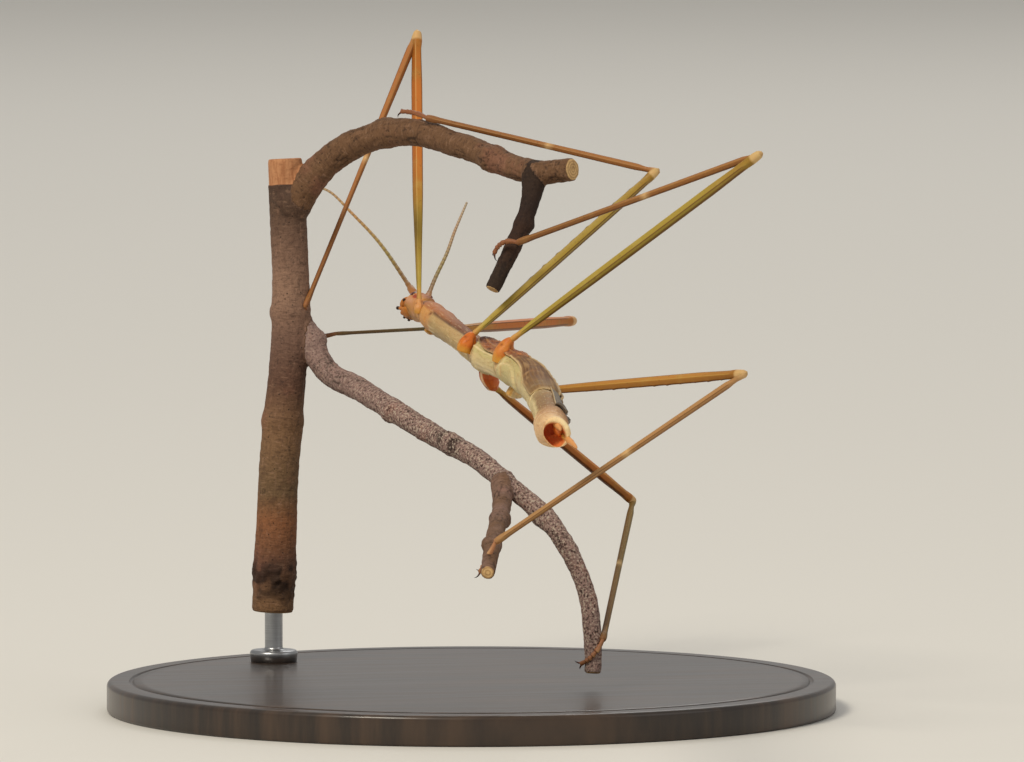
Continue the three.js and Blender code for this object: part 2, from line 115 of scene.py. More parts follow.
# Lengths of femur and tibia, and thickness of the femur at its base, middle and end and of the tibia.
Pair = namedtuple("Pair", "femur tibia thick")
PAIRS = {
    "front": Pair(32.9, 35.0, (0.52, 1.04, 1.05, 0.8)),
    "middle": Pair(25.1, 25.0, (0.62, 0.88, 0.88, 0.66)),
    "hind": Pair(32.2, 31.0, (0.62, 0.92, 0.92, 0.66)),
}
# A hip is [forward, left, up]. A coxa runs from [inward, down] of its hip to a reach along the thigh, and
# has a width. A direction is [heading, lift] in degrees, heading from straight ahead towards the left. A
# foot is two directions and its length. The tints take the thigh from olive to orange, the coxa from
# cream to red and the shin from orange-brown to olive, or to pinkish tan below nought.
Leg = namedtuple("Leg", "side pair hip coxa femur tibia foot tints")
LEGS = (
    Leg("left", "front", (25.85, 1.35, -0.2), (0.6, 0.25, 0.8, 1.0), (44.3, 24.2), (-140.2, -42.9),
        (-35, 6, -17, -25, 5.6), (0.2, 0.1, 0.0)),
    Leg("right", "front", (25.3, -1.35, 0), (0.6, 0.3, 0.8, 1.0), (-23.9, 31.1), (144.8, -46.4),
        (77.5, -78.4, 83.5, -73.7, 4.6), (0.6, 0.1, 1.0)),
    Leg("left", "middle", (1.3, 2.15, 0), (1.1, 0.9, 0.7, 1.75), (63.8, 73.0), (38.5, -42.7),
        (16, -13, 3, -26, 4.6), (0.15, 0.85, 0.15)),
    Leg("right", "middle", (0.8, -2.55, 0), (1.45, -0.64, 1.4, 1.7), (-60.8, 23.7), (-165.1, -26.2),
        (-130, -46, -14, -49, 4), (0.95, 1.0, 0.7)),
    Leg("left", "hind", (-9.5, 2.65, 1.65), (1.5, 1.1, 0.9, 1.85), (142.0, 61.6), (-7.8, -45.1),
        (46, -41, -67, -36, 3.8), (0.1, 0.5, 0.2)),
    Leg("right", "hind", (-10.9, -1.9, 0.6), (0.7, 0.4, 0.9, 1.3), (-178.0, 32.3), (-30.7, -58.6),
        (-145, -45, -35, -22, 4.6), (0.6, 0.0, -0.5)),
)
# How far a shin's hinge ball and a thigh's lobes reach past the knee, and the gap between a thigh's teeth.
KNEE_PAST = 0.42
TOOTH_GAP = 1.9
# A front shin thins towards the foot by a share of its thickness.
SHIN_THINS = {"left": 0.34, "right": 0.52}

# Wings: where each starts and ends behind the face, and at places between them the degrees from the
# back's middle to its edge. The wings of the two sides part a few degrees from the back's middle.
TEGMEN = (31.6, 50.6)
TEGMEN_EDGE = np.array(((31.6, 112), (36.0, 112), (40.0, 108), (43.6, 96), (45.6, 98), (50.6, 90)))
WING_STRIP = (46.0, 69.7)
STRIP_EDGE = np.array(((46.0, 92), (50.0, 97), (54.0, 104), (58.0, 120), (61.5, 129), (69.7, 126)))
WING_FAN = (60.0, 107.0)
WING_PARTING = 4
# Places behind the face, and degrees from the back's middle, of the raised vein on the strip.
STRIP_RIDGE = np.array(((46.0, 37.0), (51.0, 32.0), (55.0, 22.0), (61.0, 10.0), (69.7, 7.0)))

# The oval plate under the hind thorax: its middle behind the face, half length, and half width in degrees.
BELLY_PLATE = (48.0, 5.4, 66.0)

# Tail prongs: root and tip as [sideways, up, behind] from the middle of the tail's end.
CERCI = {
    "left": ((0.62, 0.25, -0.9), (0.1, 0.3, 0.7)),
    "right": ((0.65, 0.45, -0.9), (1.95, 0.9, 1.7)),
}

# Twigs: points along each, its radius at both ends and how much it widens where it leaves its parent; how
# rough its bark is, and its tone (the upright's own below 0.2, then brown, then grey; black below nought);
# and its knots and scars, each with its share of the length, angle round it in degrees, size and height.
Twig = namedtuple("Twig", "name line radii flare rough tone knots")
TWIGS = (
    Twig("stem", ((-15.5, 23.0, 8), (-15.15, 23.0, 15.8), (-14.8, 23.15, 22.5), (-14.2, 23.2, 29.0),
                  (-13.55, 23.35, 36.5), (-13.55, 23.5, 42), (-13.95, 24.2, 53.5)),
         (2.1, 1.8), 0.0, 0.5, 0.12, ((0.09, 200, 1.5, 0.28), (0.42, 140, 0.9, 0.2), (0.66, 60, 0.9, 0.25))),
    Twig("arm", ((-13.6, 23.3, 38.2), (-12.2, 23.0, 36.2), (-10.4, 21.0, 32.4), (-7.65, 16.5, 30.6),
                 (-5.0, 10.5, 28.65), (-2.4, 4.5, 26.7), (0.25, -1.0, 25.0), (2.1, -5.2, 23.1),
                 (6.2, -10.4, 18.6), (9.0, -11.8, 12.5), (9.6, -12.2, 6.2), (9.5, -12.4, 4.6)),
         (1.25, 0.85), 0.3, 0.8, 0.8,
         ((0.06, 60, 0.8, 0.4), (0.3, 250, 0.8, 0.2), (0.47, 150, 1.0, 0.3), (0.72, 300, 0.9, 0.3))),
    Twig("branch", ((-13.9, 23.8, 48.5), (-9.4, 21.2, 53.9), (-4.1, 15.1, 56.5), (0.7, 7.4, 55.4),
                    (5.8, -0.8, 53.2), (9.2, -4.8, 53.6)),
         (1.5, 1.15), 0.6, 0.9, 0.3, ((0.35, 20, 1.0, 0.4), (0.74, 180, 1.1, 0.5))),
    Twig("twig", ((6.2, -1.6, 53.6), (4.9, -3.6, 49.6), (2.6, -5.1, 45.1), (0.8, -5.9, 41.9)),
         (0.95, 0.75), 0.4, 0.7, -0.5, ((0.45, 90, 0.7, 0.25),)),
    Twig("shoot", ((2.1, -5.2, 23.1), (0.9, -10, 20.9), (-1.4, -18, 19.2), (-4.15, -28.1, 17.5),
                   (-5.4, -32.8, 16.5)),
         (0.95, 0.72), 0.35, 0.6, 0.45, ((0.3, 40, 0.7, 0.2), (0.66, 220, 0.7, 0.25))),
)

BODY_NODES = (
    "prothorax", "mesothorax", "metathorax", "median_segment", "abdomen_front", "abdomen_middle",
    "abdomen_rear", "anal_segment", "head", "cercus_left", "cercus_right", "antenna_left", "antenna_right",
)
LEG_PARTS = ("coxa", "femur", "tibia", "tarsus")


# Numbers that scatter the values of the noise.
SEED_SHIFT = 17.31
LATTICE = np.array((127.1, 311.7, 74.7))
SCATTER = 43758.5453
# Points on each span of a curve, before it is sampled evenly.
SPLINE_STEPS = 60


# ---- Shapes ----

def place(point):
    """[forward, left, up] as x, y, z in the insect's own axes."""
    forward, left, up = point
    return np.array((-left, forward, up), float)


def aim(heading, lift):
    """Unit direction: x = -sin heading cos lift, y = cos heading cos lift, z = sin lift."""
    turn, rise = math.radians(heading), math.radians(lift)
    return np.array((-math.sin(turn) * math.cos(rise), math.cos(turn) * math.cos(rise), math.sin(rise)))


def unit(vectors):
    return vectors / np.maximum(np.linalg.norm(vectors, axis=-1, keepdims=True), 1e-12)


def insect_to_world(points):
    """Rolls points about +Y, pitches them about +X, and moves them to where the insect hangs."""
    climb, roll = math.radians(HOLD_CLIMB), math.radians(HOLD_ROLL)
    pitch = np.array((
        (1, 0, 0), (0, math.cos(climb), -math.sin(climb)), (0, math.sin(climb), math.cos(climb)),
    ))
    tip = np.array(((math.cos(roll), 0, math.sin(roll)), (0, 1, 0), (-math.sin(roll), 0, math.cos(roll))))
    return points @ (pitch @ tip).T + np.array(HOLD_AT)


def smooth(low, high, value):
    """0 below low, 1 above high, and 3t² - 2t³ between them."""
    t = np.clip((value - low) / (high - low), 0, 1)
    return t * t * (3 - 2 * t)


def hump(value, centre, width):
    """Bell curve exp(-((value - centre) / width)²)."""
    return np.exp(-((value - centre) / width) ** 2)


def zone(value, start, end, soft):
    """1 between start and end, fading over soft at each of them."""
    return smooth(start - soft, start + soft, value) * (1 - smooth(end - soft, end + soft, value))


def arc_gap(angle, centre):
    """Smallest turn from one angle to another, in degrees."""
    return np.abs((np.degrees(angle) - centre + 180) % 360 - 180)


def eased(table, value):
    """Columns of a table mixed over its first column by cubics with no overshoot (each slope is the
    harmonic mean of its neighbours', or 0 where they disagree)."""
    x, columns = table[:, 0], table[:, 1:]
    step = np.diff(x)[:, None]
    rise = np.diff(columns, axis=0) / step
    inner = np.where(rise[:-1] * rise[1:] > 0, 2 * rise[:-1] * rise[1:] / (rise[:-1] + rise[1:] + 1e-12), 0)
    slope = np.vstack((rise[:1], inner, rise[-1:]))
    row = np.clip(np.searchsorted(x, value, side="right") - 1, 0, len(x) - 2)
    width = (x[row + 1] - x[row])[..., None]
    t = np.clip((np.asarray(value) - x[row])[..., None] / width, 0, 1)
    start, end = columns[row], columns[row + 1]
    mixed = (start * (2 * t ** 3 - 3 * t ** 2 + 1) + end * (3 * t ** 2 - 2 * t ** 3)
             + width * (slope[row] * (t ** 3 - 2 * t ** 2 + t) + slope[row + 1] * (t ** 3 - t ** 2)))
    return np.moveaxis(mixed, -1, 0)


def lumps(points, scale, seed=0):
    """Value noise from -1 to 1: random values on a lattice, mixed by eased weights in each cell."""
    where = np.asarray(points, float) * scale + seed * SEED_SHIFT
    cell = np.floor(where)
    share = where - cell
    share = share * share * (3 - 2 * share)
    total = 0
    for corner in np.ndindex(2, 2, 2):
        value = np.abs(np.sin((cell + corner) @ LATTICE) * SCATTER) % 1
        weight = np.prod(np.where(corner, share, 1 - share), axis=-1)
        total = total + weight * value
    return 2 * total - 1


def spline(points, count):
    """Centripetal Catmull-Rom curve: between two points a cubic whose end slopes come from their
    neighbours, with spans weighted by the square root of their lengths; sampled evenly by length."""
    p = np.asarray(points, float)
    p = np.vstack((2 * p[0] - p[1], p, 2 * p[-1] - p[-2]))
    gap = np.sqrt(np.linalg.norm(np.diff(p, axis=0), axis=1))[:, None]
    a, b, c, d = p[:-3], p[1:-2], p[2:-1], p[3:]
    before, here, after = gap[:-2], gap[1:-1], gap[2:]
    leave = here * ((b - a) / before - (c - a) / (before + here) + (c - b) / here)
    reach = here * ((c - b) / here - (d - b) / (here + after) + (d - c) / after)
    t = np.linspace(0, 1, SPLINE_STEPS, endpoint=False)[None, :, None]
    b, c, leave, reach = b[:, None], c[:, None], leave[:, None], reach[:, None]
    curve = (b * (2 * t ** 3 - 3 * t ** 2 + 1) + c * (3 * t ** 2 - 2 * t ** 3)
             + leave * (t ** 3 - 2 * t ** 2 + t) + reach * (t ** 3 - t ** 2))
    dense = np.vstack((curve.reshape(-1, 3), p[-2]))
    along = np.concatenate(((0,), np.cumsum(np.linalg.norm(np.diff(dense, axis=0), axis=1))))
    wanted = np.linspace(0, along[-1], count)
    return np.stack([np.interp(wanted, along, column) for column in dense.T], axis=-1)


def bend(start, middle, end, count=40):
    """Quadratic curve (1-t)² start + 2t(1-t) middle + t² end."""
    t = np.linspace(0, 1, count)[:, None]
    return (1 - t) ** 2 * start + 2 * t * (1 - t) * middle + t ** 2 * end


class Path:
    """A line in space, measured in millimetres from its start, with a side that faces a set way."""

    def __init__(self, points, up):
        steps = np.linalg.norm(np.diff(points, axis=0), axis=1)
        self.along = np.concatenate(((0,), np.cumsum(steps)))
        self.length = self.along[-1]
        self.points = points
        self.slope = unit(np.gradient(points, self.along, axis=0))
        self.side = unit(np.cross(self.slope, up))
        self.top = np.cross(self.side, self.slope)

    def pick(self, values, along):
        return np.stack([np.interp(along, self.along, column) for column in values.T], axis=-1)

    def frame(self, along):
        """Centre, slope, side and top at each distance; past an end the line runs straight on."""
        centre, slope = self.pick(self.points, along), unit(self.pick(self.slope, along))
        past = along - np.clip(along, 0, self.length)
        centre = centre + slope * past[..., None]
        return centre, slope, unit(self.pick(self.side, along)), unit(self.pick(self.top, along))

    def tube(self, along, around, wide, high):
        """Grid: centre + side × wide × sin(around) + top × high × cos(around)."""
        centre, _, side, top = self.frame(along)
        return (centre + side * (wide * np.sin(around))[..., None]
                + top * (high * np.cos(around))[..., None])


class Patch:
    """A grid of points that wraps round on its second side and is closed by a pole at each end, with
    the values that its material reads at each point."""

    def __init__(self, grid, lie, marks, material):
        rows, columns = grid.shape[:2]
        self.points = np.vstack((grid.reshape(-1, 3), grid[0].mean(0), grid[-1].mean(0)))
        self.lie = self.with_poles(lie, rows, columns)
        self.marks = self.with_poles(marks, rows, columns)
        self.material = material
        index = np.arange(rows * columns).reshape(rows, columns)
        right = np.roll(index, -1, axis=1)
        self.quads = np.stack((index[:-1], right[:-1], right[1:], index[1:]), axis=-1).reshape(-1, 4)
        first = np.full(columns, rows * columns)
        start = np.stack((first, right[0], index[0]), axis=-1)
        end = np.stack((first + 1, index[-1], right[-1]), axis=-1)
        self.triangles = np.vstack((start, end))
        if self.volume() < 0:
            self.quads = self.quads[:, ::-1]
            self.triangles = self.triangles[:, ::-1]

    @staticmethod
    def with_poles(values, rows, columns):
        full = np.stack([np.broadcast_to(value, (rows, columns)) for value in values], axis=-1).astype(float)
        return np.vstack((full.reshape(-1, 3), full[0].mean(0), full[-1].mean(0)))

    def volume(self):
        """Sum of a · (b × c) over the faces' triangles: positive where they face outwards."""
        fans = np.vstack((self.quads[:, [0, 1, 2]], self.quads[:, [0, 2, 3]], self.triangles))
        a, b, c = (self.points[fans[:, column]] for column in range(3))
        return np.einsum("ij,ij->i", a, np.cross(b, c)).sum()


def build(name, patches, materials, nodes, in_world=False):
    """Joins patches into one mesh object in metres, which rides on the part and replaces its nodes."""
    points, lie, marks, corners, sizes, slots = [], [], [], [], [], []
    start = 0
    for patch in patches:
        points.append(patch.points)
        lie.append(patch.lie)
        marks.append(patch.marks)
        corners += [(patch.quads + start).ravel(), (patch.triangles + start).ravel()]
        sizes += [np.full(len(patch.quads), 4), np.full(len(patch.triangles), 3)]
        slots.append(np.full(len(patch.quads) + len(patch.triangles), patch.material))
        start += len(patch.points)
    places = np.vstack(points)
    places = (places if in_world else insect_to_world(places)) * MM
    return mesh_object(name, places, np.concatenate(corners), np.concatenate(sizes), np.concatenate(slots),
                       np.vstack(lie), np.vstack(marks), materials, nodes)


def mesh_object(name, places, corners, sizes, slots, lie, marks, materials, nodes):
    mesh = bpy.data.meshes.new(name)
    mesh.vertices.add(len(places))
    mesh.vertices.foreach_set("co", places.ravel())
    mesh.loops.add(len(corners))
    mesh.loops.foreach_set("vertex_index", corners.astype(np.int32))
    mesh.polygons.add(len(sizes))
    mesh.polygons.foreach_set("loop_start", (np.cumsum(sizes) - sizes).astype(np.int32))
    mesh.polygons.foreach_set("loop_total", sizes.astype(np.int32))
    mesh.polygons.foreach_set("material_index", slots.astype(np.int32))
    mesh.polygons.foreach_set("use_smooth", np.ones(len(sizes), bool))
    for title, values in (("lie", lie), ("marks", marks)):
        mesh.attributes.new(title, "FLOAT_VECTOR", "POINT").data.foreach_set("vector", values.ravel())
    mesh.update(calc_edges=True)
    mesh.validate()
    for material in materials:
        mesh.materials.append(material)
    piece = bpy.data.objects.new(name, mesh)
    bpy.context.scene.collection.objects.link(piece)
    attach(piece, "root")
    if nodes:
        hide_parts(*nodes)
    return piece


def rings(count, turn=0.0):
    """Angles round a tube, from its top towards its side."""
    return np.linspace(0, TURN, count, endpoint=False) + turn


def sheet(rows, sides, turn=0.0):
    """A tube's grid of distances along it and angles round it."""
    return np.meshgrid(rows, rings(sides, turn), indexing="ij")


def spread(share, angle):
    """Where a point lies: along its piece, and its angle as cosine and sine."""
    return share, np.cos(angle), np.sin(angle)


def round_lumps(along, angle, radius, scale, seed):
    """Value noise on a tube: by the distance along it, and round it on a circle."""
    return lumps(np.stack((along, radius * np.sin(angle), radius * np.cos(angle)), axis=-1), scale, seed)


# ---- Materials ----

class Value:
    """A number on a shader socket; arithmetic on it adds Math nodes."""

    def __init__(self, tree, socket):
        self.tree = tree
        self.socket = socket

    def math(self, operation, *others):
        return self.tree.node("ShaderNodeMath", {"operation": operation}, self, *others)

    def step(self, low, high):
        """0 at low, 1 at high, eased between them and level past them."""
        return self.tree.node("ShaderNodeMapRange", {"interpolation_type": "SMOOTHSTEP"}, self, low, high)

    def clamp(self):
        return self.tree.node("ShaderNodeClamp", {}, self)

    def __add__(self, other):
        return self.math("ADD", other)

    def __sub__(self, other):
        return self.math("SUBTRACT", other)

    def __rsub__(self, other):
        return self.tree.node("ShaderNodeMath", {"operation": "SUBTRACT"}, other, self)

    def __mul__(self, other):
        return self.math("MULTIPLY", other)

    def __truediv__(self, other):
        return self.math("DIVIDE", other)

    def __pow__(self, other):
        return self.math("POWER", other)

    __radd__ = __add__
    __rmul__ = __mul__


class Finish:
    """A material whose nodes are added by one method, on a principled shader."""

    def __init__(self, name, roughness=0.5, **constants):
        self.material = bpy.data.materials.new(name)
        self.material.use_nodes = True
        self.nodes = self.material.node_tree.nodes
        self.links = self.material.node_tree.links
        self.nodes.clear()
        output = self.nodes.new("ShaderNodeOutputMaterial")
        self.shader = self.nodes.new("ShaderNodeBsdfPrincipled")
        self.links.new(self.shader.outputs["BSDF"], output.inputs["Surface"])
        self.shader.inputs["Roughness"].default_value = roughness
        self.shader.inputs["Specular IOR Level"].default_value = 0.25
        for title, value in constants.items():
            self.shader.inputs[title.replace("_", " ").title()].default_value = value

    def node(self, kind, settings, *values, out=0, **named):
        """Adds a node: its settings first, then its sockets by order or by name; returns one output."""
        added = self.nodes.new(kind)
        for title, value in settings.items():
            if title == "stops":
                self.stops(added.color_ramp, value)
            else:
                setattr(added, title, value)
        for key, value in (*enumerate(values), *named.items()):
            self.plug(added.inputs[key], value)
        return Value(self, added.outputs[out])

    @staticmethod
    def stops(ramp, stops):
        while len(ramp.elements) < len(stops):
            ramp.elements.new(0.5)
        for element, (position, color) in zip(ramp.elements, stops):
            element.position = position
            element.color = (*color, 1.0) if len(color) == 3 else color

    def plug(self, socket, value):
        if isinstance(value, Value):
            self.links.new(value.socket, socket)
        elif value is not None:
            socket.default_value = (*value, 1.0) if socket.type == "RGBA" and len(value) == 3 else value

    def done(self, color, roughness=None, bump=None, alpha=None):
        """Plugs in colour, roughness, a bump of [height, metres, strength] and alpha; the material."""
        if bump is not None:
            height, distance, strength = bump
            bump = self.node("ShaderNodeBump", {}, Strength=strength, Distance=distance, Height=height)
        values = {"Base Color": color, "Roughness": roughness, "Normal": bump, "Alpha": alpha}
        for title, value in values.items():
            self.plug(self.shader.inputs[title], value)
        return self.material

    def mix(self, factor, first, second):
        """first where factor is 0, second where it is 1."""
        return self.node("ShaderNodeMix", {"data_type": "RGBA"}, factor, *[None] * 5, first, second, out=2)

    def paint(self, color, layers):
        """Lays colours over a first one: each layer is how much of it shows, and its colour."""
        for amount, cover in layers:
            color = self.mix(amount, color, cover)
        return color

    def ramp(self, value, stops):
        return self.node("ShaderNodeValToRGB", {"stops": stops}, value)

    def attribute(self, title):
        """The three numbers of a point attribute, and the whole vector."""
        vector = self.node("ShaderNodeAttribute", {"attribute_name": title}, out=1)
        parts = self.nodes.new("ShaderNodeSeparateXYZ")
        self.links.new(vector.socket, parts.inputs[0])
        return [Value(self, parts.outputs[index]) for index in range(3)] + [vector]

    def place(self):
        return self.node("ShaderNodeTexCoord", {}, out=3)

    def stretch(self, vector, scale):
        return self.node("ShaderNodeVectorMath", {"operation": "MULTIPLY"}, vector, scale)

    def noise(self, vector, scale, detail, roughness):
        return self.node("ShaderNodeTexNoise", {}, Vector=vector, Scale=scale, Detail=detail,
                         Roughness=roughness)

    def grain(self, scale, detail=4, roughness=0.6):
        """Noise by the piece's own places, with scale in lumps to the metre."""
        return self.noise(self.place(), scale, detail, roughness)

    def cells(self, scale):
        return self.node("ShaderNodeTexVoronoi", {}, Vector=self.place(), Scale=scale)


def srgb(red, green, blue):
    """A colour given as 0 to 255 screen values, in linear light."""
    value = np.array((red, green, blue)) / 255
    linear = np.where(value <= 0.04045, value / 12.92, ((value + 0.055) / 1.055) ** 2.4)
    return tuple(linear.tolist())


def color_property(name, description, color):
    return bpy.props.FloatVectorProperty(
        name=name, description=description, subtype="COLOR", size=3, min=0, max=1, default=srgb(*color))


def length_property(name, description, millimetres):
    return bpy.props.FloatProperty(
        name=name, description=description, unit="LENGTH", min=0, precision=5, default=millimetres * MM)


def share_property(name, description, share):
    return bpy.props.FloatProperty(
        name=name, description=description, subtype="FACTOR", min=0, max=1, default=share)


# ---- Settings ----

class BodySettings(bpy.types.PropertyGroup):
    """Colours and relief of the body and head."""

    peach: color_property("Head", "Underside of the head", (196, 136, 82))
    gold: color_property("Neck shield", "Golden sides of the neck shield", (208, 150, 84))
    rose: color_property("Back", "Reddish-brown back of the thorax", (120, 72, 42))
    pale: color_property("Underside", "Pale green-cream underside", (198, 182, 124))
    brown: color_property("Abdomen", "Olive-brown back of the abdomen", (140, 106, 62))
    ring: color_property("Tail ring", "Peach ring before the tail's cup", (212, 150, 96))
    # The cream also paints highlights on ridges of the thorax and on the tail's rim.
    cream: color_property("Rims", "Cream rims of plates and folds", (238, 216, 168))
    orange: color_property("Hips", "Red-orange hips and the skin round them", (206, 112, 40))
    hollow: color_property("Hollow", "Inside of the tail's cup", (196, 94, 50))
    groove: length_property("Seam depth", "Depth of the seams between plates", 0.13)
    rim: length_property("Rim height", "Height of the rim in front of each seam", 0.08)


class LegSettings(bpy.types.PropertyGroup):
    """Colours and relief of legs, feet and antennae."""

    olive: color_property("Olive", "Olive thighs", (158, 142, 58))
    ochre: color_property("Ochre", "Orange thighs", (196, 112, 44))
    # The keel colour also paints the shade on the underside of the thighs and shins.
    edge: color_property("Keels", "Dark keels", (90, 44, 14))
    shin: color_property("Thigh ends", "Thighs near the knee", (146, 98, 34))
    dusk: color_property("Lower shins", "Shins near the foot", (112, 74, 42))
    pale: color_property("Pale marks", "Knees and the band on each shin", (228, 192, 136))
    claw: color_property("Claws", "Claws and palp tips", (30, 18, 14))
    keel: share_property("Keel height", "Height of the keels as a share of the leg's radius", 0.16)


class WingSettings(bpy.types.PropertyGroup):
    """Colours and sizes of the folded wings."""

    membrane: color_property("Strip", "Leathery strip of the hind wing", (124, 88, 44))
    vein: color_property("Veins", "Dark bands between veins", (97, 62, 30))
    rim: color_property("Edge", "Cream edge of the hind wing", (226, 196, 142))
    shield: color_property("Wing covers", "Reddish wing covers", (142, 82, 48))
    fan: color_property("Fan tip", "Grey tip of the folded fan", (98, 84, 66))
    thick: length_property("Thickness", "Thickness of the folded wings", 0.28)


class PerchSettings(bpy.types.PropertyGroup):
    """Colours and relief of the twig."""

    bark: color_property("Bark", "Brown bark of the branch", (112, 82, 58))
    grey: color_property("Weathered bark", "Grey-pink bark of the arm", (146, 120, 112))
    crack: color_property("Cracks", "Dark cracks and pits", (34, 24, 20))
    lichen: color_property("Lichen", "Pale specks", (190, 176, 158))
    wood: color_property("Cut wood", "Cut ends of the twigs", (206, 170, 118))
    voxel: length_property("Mesh size", "Size of the faces of the bark", 0.17)
    relief: length_property("Relief", "Height of the lumps in the bark", 0.16)


class StandSettings(bpy.types.PropertyGroup):
    """Colours and sizes of the display stand."""

    lacquer: color_property("Lacquer", "Dark lacquered wood", (44, 38, 34))
    grain: color_property("Grain", "Lighter grain under the lacquer", (74, 58, 46))
    steel: color_property("Steel", "Brushed steel rod", (170, 172, 174))
    bevel: length_property("Edge", "Rounding of the base's edge", 0.5)


class StageSettings(bpy.types.PropertyGroup):
    """Camera, floor and lights."""

    camera_at: bpy.props.FloatVectorProperty(
        name="Camera", description="Where the camera stands", subtype="TRANSLATION", size=3,
        default=(-0.230232, -1.079024, 0.109732))
    look_at: bpy.props.FloatVectorProperty(
        name="Look at", description="Point in the middle of the view", subtype="TRANSLATION", size=3,
        default=(0.002639, -0.006698, 0.033))
    lens: bpy.props.FloatProperty(name="Lens", description="Focal length in millimetres", default=394.45)
    floor: color_property("Floor", "Plain pale floor", (222, 220, 214))
    floor_radius: bpy.props.FloatProperty(
        name="Floor radius", description="How far the floor reaches", unit="LENGTH", default=9.0)
    key: bpy.props.FloatProperty(name="Key light", description="Power of the main light", default=20.0)
    fill: bpy.props.FloatProperty(name="Fill light", description="Power of the fill light", default=2.5)
    back: bpy.props.FloatProperty(name="Back light", description="Power of the light behind", default=5.0)
    sky: share_property("Surrounding light", "Strength of the even light all round", 0.4)


SETTINGS = {
    "stick_body": BodySettings,
    "stick_legs": LegSettings,
    "stick_wings": WingSettings,
    "stick_perch": PerchSettings,
    "stick_stand": StandSettings,
    "stick_stage": StageSettings,
}


def settings(name):
    return getattr(bpy.context.scene, name)


# ---- Body and head ----

BODY_LENGTH = 120
BODY_FROM = 4.2
BODY_STEP = 0.22
BODY_SIDES = 60
# Degrees from the back's middle to its edge at the face, and how much less for each millimetre behind.
BACK_EDGE = 116
BACK_TAPER = 0.9
# Pits of the thorax: places behind the face, and degrees from the back's middle on either side.
PITS = ((11.7, 114), (11.7, -114), (30.3, 82), (30.3, -82), (31.0, 98), (31.0, -98))
BACK = np.array((0, 0, 1.0))
AHEAD = np.array((0, 1.0, 0))
BODY_PATH = Path(spline([place(point) for point in SPINE], 900), BACK)


def leg_lines(leg):
    """Side's sign, hip, thigh direction, knee, shin direction, ankle, bend of the foot and toe."""
    pair = PAIRS[leg.pair]
    sign = 1 if leg.side == "left" else -1
    hip = place(leg.hip)
    thigh, shin = aim(*leg.femur), aim(*leg.tibia)
    knee = hip + thigh * pair.femur
    ankle = knee + shin * pair.tibia
    heading, lift, toe_heading, toe_lift, length = leg.foot
    arch = ankle + aim(heading, lift) * length / 2
    toe = arch + aim(toe_heading, toe_lift) * length / 2
    return sign, hip, thigh, knee, shin, ankle, arch, toe


def coxa_path(leg):
    """The line of a hip joint: a quadratic curve from inside the body, by the hip, along the thigh."""
    sign, hip, thigh, *_ = leg_lines(leg)
    inward, down, reach, _ = leg.coxa
    socket = hip + np.array((sign * inward, 0, -down))
    return Path(bend(socket, hip, hip + thigh * reach, 60), AHEAD)


def socket_relief(points):
    """A ring on the body round the root of each hip joint, and a glow inside it: bell curves on the
    distance from the root. The ring is a groove that the body also darkens as painted shade."""
    ring, glow = 0, 0
    for leg in LEGS:
        width = leg.coxa[3]
        away = np.linalg.norm(points - coxa_path(leg).points[0], axis=-1)
        left = (leg.side == "left") * (leg.pair != "front")
        ring = ring + hump(away, width * 0.64, 0.16) * (0.5 + 0.5 * left)
        glow = glow + 0.6 * hump(away, 0, width * 0.66) * left
    return ring, np.clip(glow, 0, 1)


def strip_edge(along):
    """Degrees from the back's middle to the edge of the reddish back, which draws in towards the tail."""
    return BACK_EDGE - BACK_TAPER * along


